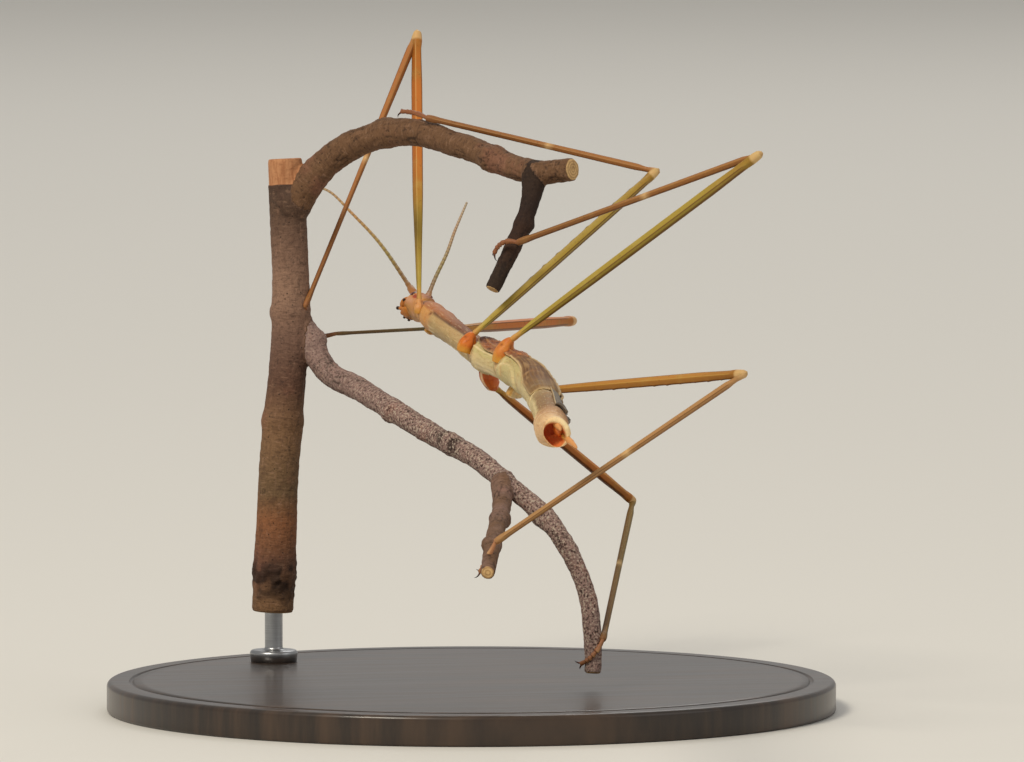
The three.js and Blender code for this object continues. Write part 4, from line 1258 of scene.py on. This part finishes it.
class STICK_OT_eyes(bpy.types.Operator):
    """Build the two compound eyes and the three simple eyes"""

    bl_idname = "stick.eyes"
    bl_label = "Eyes"

    def execute(self, context):
        material = eye_material()
        for side, sign in (("left", 1), ("right", -1)):
            forward, sideways, up = EYE_AT
            centre = place((forward, sign * sideways, up))
            axis = unit(np.array((-sign * 1.0, 0.25, 0.18)))
            patch = dome_patch(centre, axis, EYE_RADIUS, EYE_RADIUS * 0.82)
            build(f"eye_{side}_globe", [patch], [material], [f"eye_{side}"])
        patches = [dome_patch(place(point), np.array((0, 0.2, 0.98)), 0.12, 0.09, 10, 14) for point in OCELLI]
        build("simple_eyes", patches, [material], [])
        return {"FINISHED"}


def beads(points, radii):
    """A jointed feeler: a tube whose radius dips at each joint, dark at its tip."""
    path = Path(spline(points, 120), AHEAD)
    share, angle = sheet(np.linspace(0, 1, 40), 12)
    phase = (share * (len(points) - 1)) % 1
    radius = np.interp(share, np.linspace(0, 1, len(radii)), radii)
    radius = radius * (0.8 + 0.3 * np.sin(math.pi * phase) ** 0.6)
    radius = radius * np.interp(share, (0, 0.94, 1.0), (1, 1, 0.15))
    grid = path.tube(share * path.length, angle, radius, radius)
    dark = smooth(0.6, 0.7, share)
    return Patch(grid, spread(share, angle), (dark, dark, dark), 0)


def mouth_patches():
    """Upper lip, two jaws, lower lip and two pairs of palps under the face."""
    lip = [place(point) for point in ((33.3, 0, 0.3), (33.5, 0, -0.4), (33.2, 0, -1.05))]
    under = [place(point) for point in ((31.2, 0, -0.3), (31.8, 0, -0.9), (32.5, 0, -1.3))]
    patches = [plate(lip, (0.45, 0.62, 0.6, 0.42, 0.1), 0.28), plate(under, (0.4, 0.6, 0.6, 0.45, 0.1), 0.42)]
    for sign in (-1, 1):
        jaw = [place((forward, sign * left, up)) for forward, left, up in (
            (32.2, 0.75, 0.2), (32.75, 0.75, -0.55), (32.85, 0.32, -1.15))]
        patches.append(plate(jaw, (0.32, 0.48, 0.45, 0.32, 0.06), 0.36))
    for line, thick in PALPS:
        patches.append(beads([place(point) for point in line], (thick, thick, thick * 0.9, thick * 0.8)))
    return patches


def plate(points, halves, thick):
    """A mouth plate: a tube that is wide and flat, with its half width eased along it."""
    path = Path(spline(points, 80), AHEAD)
    share, angle = sheet(np.linspace(0, 1, 26), 20)
    half = np.interp(share, np.linspace(0, 1, len(halves)), halves)
    flat = np.minimum(thick * 0.5, half)
    grid = path.tube(share * path.length, angle, half, flat)
    return Patch(grid, spread(share, angle), (0, 0, smooth(0.7, 1, share)), 0)


def mouth_material():
    """Yellow-orange plates, darker at their edges, with near-black palp tips."""
    finish = cuticle("mouth_cuticle", 0.32)
    dark, _, edge, _ = finish.attribute("marks")
    blotch = finish.grain(1400)
    color = finish.mix(blotch, srgb(206, 138, 60), srgb(168, 96, 48))
    color = finish.paint(color, (
        (edge * 0.5, srgb(96, 44, 22)),
        (dark * 0.95, settings("stick_legs").claw),
    ))
    return finish.done(color, bump=(blotch, 0.00005, 0.5))


class STICK_OT_mouth(bpy.types.Operator):
    """Build the jaws, lips and palps"""

    bl_idname = "stick.mouth"
    bl_label = "Mouthparts"

    def execute(self, context):
        build("mouth_plates", mouth_patches(), [mouth_material()], ["mouthparts"])
        return {"FINISHED"}


class STICK_OT_claws(bpy.types.Operator):
    """Build the pair of claws on each foot"""

    bl_idname = "stick.claws"
    bl_label = "Claws"

    def execute(self, context):
        legs = settings("stick_legs")
        finish = Finish("claw_horn", 0.3, coat_weight=0.3)
        share, *_ = finish.attribute("lie")
        horn = finish.done(finish.mix(share.step(0.0, 0.6), srgb(96, 48, 26), legs.claw))
        patches = [patch for leg in LEGS for patch in claw_patches(leg)]
        build("claws", patches, [horn], [])
        return {"FINISHED"}


# ---- Wings ----

def shell(along, turn_in, turn_out, gap, thick, across=26):
    """A closed thin shell over the body: out along one face and back along the other. A point lies at
    the body's half width and height plus its clearance, at its own angle from the back's middle."""
    span = np.linspace(0, 1, across)
    lap = np.concatenate((span, span[::-1]))
    layer = np.concatenate((np.ones(across), np.zeros(across)))
    edge = np.sqrt(np.clip(np.sin(math.pi * np.clip(lap, 0.02, 0.98)), 0, 1)) ** 0.6
    along, lap = np.meshgrid(along, lap, indexing="ij")
    layer = np.broadcast_to(layer, along.shape)
    edge = np.broadcast_to(edge, along.shape)
    turn = np.radians(turn_in + (turn_out - turn_in) * lap)
    clear = gap + thick * np.where(layer > 0, 0.5 + 0.5 * edge, 0.5 - 0.5 * edge)
    return along, lap, layer, turn, clear


def wing_rows(span, count):
    """Even places behind the face from a wing's start to its end, and their share of the way."""
    rows = np.linspace(*span, count)
    return rows, (rows - rows[0]) / (rows[-1] - rows[0])


def wing_grid(along, turn, clear, sign):
    """Points beside the body: centre + side × wide × sin(turn) + top × high × cos(turn), each half
    size widened by the clearance."""
    wide, high = eased(GIRTH, along) / 2
    return BODY_PATH.tube(along, sign * turn, wide + clear, high + clear)


def tegmen_patch(sign):
    """A wing cover: an oval shell with a hump, netted with veins."""
    rows, share = wing_rows(TEGMEN, 90)
    oval = np.clip(np.sin(math.pi * np.clip(share, 0.01, 0.99)), 0, 1) ** 0.35
    edge = eased(TEGMEN_EDGE, rows)[0]
    middle, half = (WING_PARTING + edge) / 2, (edge - WING_PARTING) / 2
    outer, inner = middle + half * oval, middle - half * oval
    along, lap, layer, turn, clear = shell(
        rows, inner[:, None], outer[:, None], 0.1, settings("stick_wings").thick / MM, 40)
    share = share[:, None]
    raised = 0.42 * hump(share, 0.3, 0.2) * hump(lap, 0.35, 0.2)
    raised = raised + 0.3 * hump(share, 0.8, 0.12) * hump(lap, 0.4, 0.25)
    spine = hump(lap, 0.35, 0.05) + 0.7 * hump(lap - 0.62 - 0.2 * share, 0, 0.03)
    grid = np.stack((share * 16 + 0 * lap, lap * 7, 0 * lap), axis=-1)
    net = np.abs(lumps(grid, 1.0, 21)) + 0.5 * np.abs(lumps(grid, 2.1, 22))
    veins = smooth(0.22, 0.04, net)
    clear = clear + layer * (raised + 0.09 * veins + 0.08 * spine) * oval[:, None]
    clear = clear * (1 - 0.7 * smooth(0.75, 1.0, share))
    points = wing_grid(along, turn, clear, sign)
    rim = hump(lap, 1, 0.06)
    return Patch(points, (share, lap, layer), (np.clip(rim + 0.7 * spine, 0, 1), veins, net), 0)


def hindwing_patch(sign):
    """The hind wing's leathery strip: a long shell with a blunt end, a cream rim, one raised cream
    vein and lengthwise veins raised as narrow bells."""
    rows, share = wing_rows(WING_STRIP, 190)
    edge = eased(STRIP_EDGE, rows)[0]
    outer = WING_PARTING + (edge - WING_PARTING) * np.clip((1.003 - share) / 0.03, 0, 1) ** 0.5
    along, lap, layer, turn, clear = shell(
        rows, WING_PARTING, outer[:, None], 0.12, settings("stick_wings").thick / MM, 44)
    share = share[:, None]
    ridge_lap = (eased(STRIP_RIDGE, rows)[0] - WING_PARTING) / (edge - WING_PARTING)
    ridge = hump(lap - ridge_lap[:, None], 0, 0.035)
    rim = hump(lap, 0.975, 0.035)
    veins = sum(hump(lap, at, 0.016) for at in (0.42, 0.52, 0.62, 0.72, 0.82, 0.9))
    folds = lumps(np.stack((share * 7 + 0 * lap, lap * 16, 0 * lap + sign), axis=-1), 1.0, 9)
    end = smooth(0.965, 0.985, share)
    crumple = lumps(np.stack((along * 0.8, lap * 5, 0 * lap + sign), axis=-1), 1.0, 13)
    clear = clear + layer * (0.03 * veins + 0.06 * rim + 0.2 * ridge + 0.03 * folds + 0.06 * crumple)
    clear = clear * (1 - 0.8 * smooth(0.93, 1.0, share))
    grid = wing_grid(along, turn, clear, sign)
    pale = np.clip(rim * (1.5 - 1.0 * smooth(0.3, 0.8, share)) + ridge + 0.5 * end, 0, 1)
    # The folds and crumples also go to the material, which paints their crests lighter and their dips darker.
    return Patch(grid, (share, lap, layer), (pale, veins, folds + crumple), 1)


def fan_patch(sign):
    """The folded fan: a thin, pleated strip along the back with a cream lower edge, loose at its
    tip."""
    rows, share = wing_rows(WING_FAN, 150)
    width = 41 if sign > 0 else 34
    outer = WING_PARTING + width * np.clip((1.003 - share) / 0.16, 0, 1) ** 0.4
    along, lap, layer, turn, clear = shell(rows, WING_PARTING, outer[:, None], 0.06, 0.14, 30)
    share = share[:, None]
    pleat = np.cos(lap * 38 + 1.5 * share)
    rim = hump(lap, 0.96, 0.05)
    loose = 0.36 * hump(along, 103, 4.5) * hump(lap, 0.8, 0.3) * (sign > 0)
    clear = clear + layer * (0.04 * pleat + 0.1 * rim * (1 - loose)) + loose
    grid = wing_grid(along, turn, clear, sign)
    tip = zone(along, 96, 120, 2.5)
    return Patch(grid, (share, lap, layer), (rim * (1 - tip), 0.5 + 0.5 * pleat, tip), 2)


def wing_material():
    """Brown strip with darker bands between pale veins, pinker in patches, and a cream rim; lighter on
    its raised folds and darker in their dips as painted highlight and shade.
    """
    wings = settings("stick_wings")
    finish = Finish("wing_strip", 0.55)
    share, lap, _, _ = finish.attribute("lie")
    rim, vein, fold, _ = finish.attribute("marks")
    streak = finish.noise(finish.node("ShaderNodeCombineXYZ", {}, share * 5, lap * 13, 0.0), 1.0, 4, 0.5)
    blotch = finish.grain(500)
    color = finish.mix(streak.step(0.38, 0.66), wings.membrane, wings.vein)
    color = finish.paint(color, (
        (blotch.step(0.45, 0.7) * 0.4, srgb(160, 112, 70)),
        # Painted highlight on the raised folds and crumples.
        (fold.step(0.1, 0.7) * 0.5, srgb(178, 140, 94)),
        # Painted shade in the dips between them.
        (fold.step(-0.1, -0.7) * 0.4, srgb(102, 66, 40)),
        (vein * 0.3, srgb(168, 132, 86)),
        (share.step(0.6, 0.95) * 0.45, srgb(138, 112, 70)),
        (share.step(0.14, 0.02) * 0.7, srgb(126, 72, 48)),
        ((rim * (0.4 + streak)).clamp() * 0.8, wings.rim),
    ))
    return finish.done(color, 0.45 + 0.25 * blotch, (streak, 0.00008, 0.7))


def shield_material():
    """Reddish wing covers with a net of orange veins, dark pits between them and a dark root."""
    wings = settings("stick_wings")
    finish = Finish("wing_cover", 0.55)
    share, *_ = finish.attribute("lie")
    edge, vein, net, _ = finish.attribute("marks")
    blotch = finish.grain(800)
    color = finish.mix(blotch.step(0.35, 0.65), wings.shield, srgb(162, 106, 66))
    color = finish.paint(color, (
        (net.step(0.3, 0.7) * 0.75, srgb(82, 40, 26)),
        (vein * 0.7, srgb(200, 124, 72)),
        ((share + (blotch - 0.5) * 0.16).step(0.2, 0.1) * 0.9, srgb(52, 22, 20)),
        (edge * 0.4, wings.rim),
    ))
    return finish.done(color, bump=(vein - net, 0.0001, 0.9))


def fan_material():
    """Grey-brown pleats with a cream edge; thinner and greyer at the loose tip."""
    wings = settings("stick_wings")
    finish = Finish("wing_fan", 0.4)
    rim, pleat, tip, _ = finish.attribute("marks")
    blotch = finish.grain(600)
    color = finish.mix(pleat.step(0.3, 0.9), srgb(110, 92, 62), srgb(84, 68, 48))
    color = finish.paint(color, (
        (tip * pleat.step(0.9, 0.2) * 0.7, wings.fan),
        (blotch.step(0.5, 0.7) * 0.35, srgb(134, 116, 88)),
        (rim * 0.9, wings.rim),
    ))
    return finish.done(color, alpha=1 - tip * 0.35)


class STICK_OT_wings(bpy.types.Operator):
    """Build the wing covers and the folded hind wings"""

    bl_idname = "stick.wings"
    bl_label = "Wings"

    def execute(self, context):
        materials = [shield_material(), wing_material(), fan_material()]
        for side, sign in (("left", 1), ("right", -1)):
            build(f"wing_cover_{side}", [tegmen_patch(sign)], materials, [f"tegmen_{side}"])
            build(f"hind_wing_{side}", [hindwing_patch(sign), fan_patch(sign)], materials,
                  [f"hindwing_{side}"])
        return {"FINISHED"}


# ---- Perch ----

ROUND_END = 0.35
TWIG_POINTS = 300
# How far up the upright twig its bark is peeled, and the length over which its tones change.
PEELED_FROM = 43
TONES_SPAN = 46


def twig_path(twig):
    return Path(spline(twig.line, TWIG_POINTS), np.array((0.31, 0.95, 0.05)))


def twig_radius(twig, share):
    return twig.radii[0] + (twig.radii[1] - twig.radii[0]) * share


def twig_patch(twig):
    """A twig: a tube whose radius eases between its ends, flares by an exponential where it leaves its
    parent, and swells in a bell at each knot; its edges are rounded at the cut ends."""
    path = twig_path(twig)
    rim = np.array((0.0, 0.06, 0.16, ROUND_END))
    middle = np.arange(ROUND_END + 0.25, path.length - ROUND_END, 0.3)
    along = np.concatenate((rim, middle, path.length - rim[::-1]))
    along, angle = sheet(along, 40)
    share = along / path.length
    radius = twig_radius(twig, share) + twig.flare * np.exp(-np.maximum(along - 1.2, 0) / 1.3)
    for at, turn, size, height in twig.knots:
        near = hump(along - at * path.length, 0, size) * hump(arc_gap(angle, turn), 0, 55)
        ring = hump(along - at * path.length, 0.2, size * 0.8)
        radius = radius + height * near + 0.12 * ring
    far = path.length - along
    end, cut = (far, 0.18) if twig.flare else (np.minimum(along, far), 0.22)
    radius = radius - cut * (1 - np.sqrt(1 - (1 - np.clip(end / ROUND_END, 0, 1)) ** 2))
    grid = path.tube(along, angle, radius, radius)
    return Patch(grid, spread(share, angle), (0, 0, 0), 0)


def numbers(items, title, each, kind):
    """One property of all of a mesh's points, corners or faces, each giving so many numbers."""
    values = np.empty(len(items) * each, kind)
    items.foreach_get(title, values)
    return values


def merged(patches, voxel):
    """Joins overlapping closed patches into one even mesh of points and four-cornered faces."""
    places, faces, start = [], [], 0
    for patch in patches:
        places.append(patch.points)
        faces += (patch.quads + start).tolist() + (patch.triangles + start).tolist()
        start += len(patch.points)
    rough = bpy.data.meshes.new("rough_twig")
    rough.from_pydata(np.vstack(places).tolist(), [], faces)
    piece = bpy.data.objects.new("rough_twig", rough)
    bpy.context.scene.collection.objects.link(piece)
    remesh = piece.modifiers.new("even", "REMESH")
    remesh.mode = "VOXEL"
    remesh.voxel_size = voxel
    remesh.adaptivity = 0
    relax = piece.modifiers.new("relax", "SMOOTH")
    relax.factor = 0.5
    relax.iterations = 4
    finished = piece.evaluated_get(bpy.context.evaluated_depsgraph_get()).to_mesh()
    points = numbers(finished.vertices, "co", 3, float).reshape(-1, 3)
    normals = numbers(finished.vertices, "normal", 3, float).reshape(-1, 3)
    corners = numbers(finished.loops, "vertex_index", 1, np.int32)
    sizes = numbers(finished.polygons, "loop_total", 1, np.int32)
    bpy.data.objects.remove(piece)
    bpy.data.meshes.remove(rough)
    return points, normals, corners, sizes


def nearest_twig(points):
    """For each point: which twig is nearest by share of its radius, how far along it lies, its offset
    from the twig's line as parts across, and how deep it is past a cut end."""
    best = np.full(len(points), np.inf)
    lie = np.zeros((len(points), 3))
    which = np.zeros(len(points), int)
    past = np.zeros(len(points))
    for index, twig in enumerate(TWIGS):
        path = twig_path(twig)
        distance = np.linalg.norm(points[:, None] - path.points[None, ::3], axis=2)
        row = distance.argmin(1) * 3
        gap = distance.min(1) / twig_radius(twig, row / TWIG_POINTS)
        offset = points - path.points[row]
        along = path.along[row] + (offset * path.slope[row]).sum(1)
        closer = gap < best
        best = np.where(closer, gap, best)
        which = np.where(closer, index, which)
        here = np.stack((along, (offset * path.top[row]).sum(1), (offset * path.side[row]).sum(1)), axis=-1)
        lie = np.where(closer[:, None], here, lie)
        end = smooth(-0.2, -0.02, along - path.length)
        if twig.name == "stem":
            end = end + smooth(0.2, 0.02, along)
        past = np.where(closer, end, past)
    return which, lie, past


def perch_mesh(perch):
    """Bark: the merged twigs moved along their normals by lengthwise cracks, lumps and fine grain."""
    points, normals, corners, sizes = merged([twig_patch(twig) for twig in TWIGS], perch.voxel / MM)
    which, lie, past = nearest_twig(points)
    around = np.stack((lie[:, 0] * 0.35, lie[:, 1] * 1.6, lie[:, 2] * 1.6 + which * 9), axis=-1)
    cracks = lumps(around, 1.9, 1)
    crack = hump(cracks, 0.05, 0.09) * smooth(-0.3, 0.5, lumps(points, 0.5, 6))
    flakes = lumps(around, 3.4, 2)
    broad = lumps(points, 0.35, 3)
    fine = lumps(points, 2.6, 4)
    rough, tone = (np.array(values)[which] for values in zip(*((twig.rough, twig.tone) for twig in TWIGS)))
    stem, arm = which == 0, which == 1
    facing = smooth(-0.5, 0.3, normals[:, 2] - 0.5 * normals[:, 1])
    scar = hump(lie[:, 0], 3.4, 2.0) * stem + 1.3 * hump(lie[:, 0], 29.0, 1.6) * arm * facing
    scar = scar * smooth(-0.5, 0.2, lumps(points, 1.1, 7))
    peeled = stem * smooth(PEELED_FROM - 0.1, PEELED_FROM + 0.1, lie[:, 0])
    bark = 0.7 * broad - 0.5 * crack * (1 - 0.7 * stem) + 0.3 * flakes + 0.4 * fine
    relief = perch.relief / MM * (
        rough * bark * (1 - 0.8 * peeled) + 1.4 * scar * lumps(points, 2.2, 9) - 0.5 * peeled)
    points = points + normals * (relief * (1 - past))[:, None]
    crack = np.maximum(crack * (1 - 0.6 * stem), 1.2 * scar) * (1 - peeled)
    marks = np.stack((crack, past * (1 - peeled) - peeled, tone), axis=-1)
    return points, corners, sizes, lie, marks


def bark_material():
    """Bark that changes tone up the stem, brown on the branch and weathered grey on the arm, with
    dark cracks, pale specks and fine cross wrinkles, peeled at the top, ringed at the cut ends."""
    perch = settings("stick_perch")
    finish = Finish("bark", 0.85)
    along, across, off, lie = finish.attribute("lie")
    crack, cut, tone, _ = finish.attribute("marks")
    streak = finish.noise(finish.stretch(lie, (0.35, 1.8, 1.8)), 1.4, 6, 0.6)
    grain = finish.grain(1800, 5, 0.7)
    blotch = finish.grain(160)
    scab = finish.cells(1300)
    weathered = tone.step(0.5, 0.75)
    fine = finish.grain(4600, 3)
    wrinkle = finish.noise(finish.stretch(lie, (2.6, 0.7, 0.7)), 1.6, 4, 0.6)
    upright = finish.ramp(along / TONES_SPAN, (
        (0.0, srgb(128, 96, 66)), (0.1, srgb(92, 64, 48)), (0.16, srgb(132, 88, 60)),
        (0.2, srgb(140, 92, 60)), (0.26, srgb(112, 88, 62)), (0.4, srgb(130, 98, 70)),
        (0.5, srgb(98, 70, 56)), (0.6, srgb(118, 90, 76)), (0.7, srgb(150, 118, 98)),
        (0.8, srgb(122, 94, 78)), (0.88, srgb(92, 70, 56)), (0.94, srgb(74, 56, 46))))
    color = finish.mix(tone.step(0.16, 0.26), upright, perch.bark)
    color = finish.paint(color, (
        ((tone + (blotch - 0.5) * 0.5).step(0.35, 0.65), perch.grey),
        (streak.step(0.5, 0.7) * 0.25, srgb(84, 58, 46)),
        (streak.step(0.44, 0.3) * 0.25, srgb(166, 128, 106)),
        (wrinkle.step(0.52, 0.68) * 0.4, srgb(70, 48, 40)),
        (wrinkle.step(0.45, 0.3) * 0.3, srgb(170, 134, 110)),
        (blotch.step(0.55, 0.7) * 0.3, srgb(156, 102, 84)),
        (crack.clamp() * 0.75, perch.crack),
    ))
    worn = weathered * (0.3 + 0.7 * along.step(6, 24))
    color = finish.paint(color, (
        (fine.step(0.54, 0.62) * worn * 0.8, perch.lichen),
        (fine.step(0.46, 0.38) * (0.25 + worn * 0.6), perch.crack),
        (scab.step(0.14, 0.06) * 0.8, perch.crack),
        (grain.step(0.42, 0.34) * 0.4, perch.crack),
        (tone.step(0.0, -0.3) * 0.85, srgb(30, 22, 20)),
    ))
    peeled = finish.mix(streak.step(0.4, 0.65), srgb(190, 136, 96), srgb(164, 110, 74))
    peeled = finish.mix(wrinkle.step(0.58, 0.68) * 0.35, peeled, srgb(126, 78, 50))
    color = finish.mix(cut.step(-0.35, -0.65), color, peeled)
    radius = (across * across + off * off) ** 0.5
    growth = (radius * 22 + blotch * 6).math("SINE")
    wood = finish.mix(growth.step(-0.4, 0.8) * 0.5, perch.wood, srgb(140, 98, 60))
    wood = finish.mix(grain.step(0.5, 0.65) * 0.4, wood, srgb(96, 64, 40))
    color = finish.mix(cut.step(0.4, 0.8), color, wood)
    height = grain * 0.6 + streak * 0.4 + wrinkle * 0.5
    return finish.done(color, 0.7 + 0.25 * grain, (height, 0.0002, 0.9))


class STICK_OT_perch(bpy.types.Operator):
    """Build the bark of the forked twig as one surface"""

    bl_idname = "stick.perch"
    bl_label = "Perch"

    def execute(self, context):
        points, corners, sizes, lie, marks = perch_mesh(settings("stick_perch"))
        nodes = [f"perch_{twig.name}" for twig in TWIGS]
        mesh_object("perch_bark", points * MM, corners, sizes, np.zeros(len(sizes)), lie, marks,
                    [bark_material()], nodes)
        return {"FINISHED"}


# ---- Stand ----

def turned_patch(outline, centre, sides):
    """A turned solid: each [radius, height] of the outline swept round an upright line."""
    outline = np.asarray(outline, float)
    angle = rings(sides)
    radius, height = outline[:, 0, None], outline[:, 1, None]
    grid = np.stack((centre[0] + radius * np.cos(angle), centre[1] + radius * np.sin(angle),
                     height + 0 * angle), axis=-1)
    share = np.linspace(0, 1, len(outline))[:, None]
    return Patch(grid, spread(share, angle), (0, 0, 0), 0)


def quarter(centre, radius, start, end, count=9):
    """Points on an arc, from one angle to another in degrees."""
    turn = np.radians(np.linspace(start, end, count))
    return [(centre[0] + radius * math.cos(t), centre[1] + radius * math.sin(t)) for t in turn]


def lacquer_material():
    stand = settings("stick_stand")
    finish = Finish("stand_lacquer", 0.32, coat_weight=0.35, coat_roughness=0.15)
    grain = finish.noise(finish.stretch(finish.place(), (60.0, 900.0, 60.0)), 1.0, 6, 0.6)
    rings_of_wood = finish.noise(finish.stretch(finish.place(), (14.0, 160.0, 14.0)), 1.0, 3, 0.5)
    color = finish.mix((grain * 0.6 + rings_of_wood * 0.4).step(0.38, 0.66), stand.lacquer, stand.grain)
    return finish.done(color, 0.28 + 0.2 * grain, (grain, 0.00003, 0.4))


def steel_material():
    stand = settings("stick_stand")
    finish = Finish("stand_steel", 0.3, metallic=1.0)
    brushed = finish.noise(finish.stretch(finish.place(), (300.0, 300.0, 9000.0)), 1.0, 4, 0.6)
    color = finish.mix(brushed.step(0.3, 0.7) * 0.3, stand.steel, srgb(120, 120, 122))
    return finish.done(color, 0.22 + 0.2 * brushed, (brushed, 0.00001, 0.3))


class STICK_OT_stand(bpy.types.Operator):
    """Build the turned base and the rod"""

    bl_idname = "stick.stand"
    bl_label = "Stand"

    def execute(self, context):
        stand = settings("stick_stand")
        low, high = (np.array(corner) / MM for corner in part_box("stand_base"))
        radius, top, bevel = (high[0] - low[0]) / 2, high[2], stand.bevel / MM
        groove = 2.2
        outline = [(0.02, 0), (radius - 8, 0), (radius - 1.2, 0),
                   *quarter((radius - 0.3, 0.3), 0.3, -90, 0, 5), (radius, top * 0.5),
                   *quarter((radius - bevel, top - bevel), bevel, 0, 90), (radius - groove, top),
                   *quarter((radius - groove - 0.25, top), 0.25, 0, -180, 7),
                   (radius - groove - 1.5, top), (radius * 0.6, top), (0.02, top)]
        build("stand_base_turned", [turned_patch(outline, (0, 0), 144)], [lacquer_material()], ["stand_base"],
              in_world=True)
        low, high = (np.array(corner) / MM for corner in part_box("stand_rod"))
        centre, collar = (low + high)[:2] / 2, (high[0] - low[0]) / 2
        rod, foot, step, tip = 0.9, top, top + 1.2, high[2] - 0.05
        outline = [(0.02, foot), (collar - 0.1, foot), *quarter((collar - 0.35, step - 0.35), 0.35, 0, 90),
                   (rod + 0.3, step), *quarter((rod + 0.3, step + 0.3), 0.3, -90, -180, 7),
                   (rod, (step + tip) / 2), *quarter((rod - 0.2, tip - 0.2), 0.2, 0, 90, 5), (0.02, tip)]
        build("stand_rod_turned", [turned_patch(outline, centre, 48)], [steel_material()], ["stand_rod"],
              in_world=True)
        return {"FINISHED"}


# ---- Stage ----

# Each light: its power's name, its place and width in metres, and its colour.
LIGHTS = (
    ("key", (-0.9, -0.8, 1.3), 0.5, (1.0, 0.92, 0.78)),
    ("fill", (1.3, -0.9, 0.8), 1.0, (1.0, 0.97, 0.93)),
    ("back", (0.5, 1.3, 1.2), 0.8, (1.0, 0.98, 0.95)),
)
SENSOR_WIDTH = 36
SKY_COLOR = (1.0, 0.975, 0.94, 1.0)


class STICK_OT_stage(bpy.types.Operator):
    """Set up the camera, the pale floor and soft studio lights"""

    bl_idname = "stick.stage"
    bl_label = "Stage"

    def execute(self, context):
        stage = settings("stick_stage")
        scene = context.scene
        camera = bpy.data.cameras.new("camera")
        camera.lens = stage.lens
        camera.sensor_width = SENSOR_WIDTH
        camera.clip_start = 0.05
        camera.clip_end = 50
        view = bpy.data.objects.new("camera", camera)
        view.location = stage.camera_at
        view.rotation_euler = self.facing(stage.camera_at, stage.look_at)
        scene.collection.objects.link(view)
        scene.camera = view
        self.floor(stage)
        for name, place_at, size, color in LIGHTS:
            self.light(f"{name}_light", getattr(stage, name), place_at, size, color)
        world = bpy.data.worlds.new("studio")
        world.use_nodes = True
        background = world.node_tree.nodes["Background"]
        background.inputs["Color"].default_value = SKY_COLOR
        background.inputs["Strength"].default_value = stage.sky
        scene.world = world
        scene.view_settings.view_transform = "Standard"
        return {"FINISHED"}

    @staticmethod
    def facing(start, target):
        return (Vector(target) - Vector(start)).to_track_quat("-Z", "Y").to_euler()

    def floor(self, stage):
        angle = rings(96)
        ring = stage.floor_radius * np.stack((np.cos(angle), np.sin(angle), 0 * angle), axis=-1)
        mesh = bpy.data.meshes.new("floor")
        mesh.from_pydata(ring.tolist(), [], [list(range(len(ring)))])
        floor = bpy.data.objects.new("floor", mesh)
        bpy.context.scene.collection.objects.link(floor)
        finish = Finish("floor", 0.7)
        shade = finish.grain(3, 2, 0.5)
        mesh.materials.append(finish.done(finish.mix(shade * 0.1, stage.floor, srgb(206, 204, 198))))

    def light(self, name, power, at, size, color):
        lamp = bpy.data.lights.new(name, "AREA")
        lamp.energy = power
        lamp.size = size
        lamp.color = color
        thing = bpy.data.objects.new(name, lamp)
        thing.location = at
        thing.rotation_euler = self.facing(at, (0, 0, 0.03))
        bpy.context.scene.collection.objects.link(thing)


# ---- Panel and registration ----

class STICK_PT_panel(bpy.types.Panel):
    """The stick insect's pieces and settings"""

    bl_idname = "STICK_PT_panel"
    bl_label = "Stick Insect"
    bl_space_type = "VIEW_3D"
    bl_region_type = "UI"
    bl_category = "Stick Insect"

    def draw(self, context):
        for operator in OPERATORS:
            self.layout.operator(operator.bl_idname)
        for name, group in SETTINGS.items():
            box = self.layout.box()
            box.label(text=group.__doc__)
            for title in group.__annotations__:
                box.prop(getattr(context.scene, name), title)


OPERATORS = (
    STICK_OT_stage, STICK_OT_skin, STICK_OT_eyes, STICK_OT_mouth, STICK_OT_claws, STICK_OT_wings,
    STICK_OT_perch, STICK_OT_stand,
)
CLASSES = (*SETTINGS.values(), *OPERATORS, STICK_PT_panel)


def register():
    for item in CLASSES:
        bpy.utils.register_class(item)
    for name, group in SETTINGS.items():
        setattr(bpy.types.Scene, name, bpy.props.PointerProperty(type=group))


def unregister():
    for name in SETTINGS:
        delattr(bpy.types.Scene, name)
    for item in reversed(CLASSES):
        bpy.utils.unregister_class(item)


def main():
    register()
    for operator in OPERATORS:
        group, name = operator.bl_idname.split(".")
        getattr(getattr(bpy.ops, group), name)()


if __name__ == "__main__":
    main()
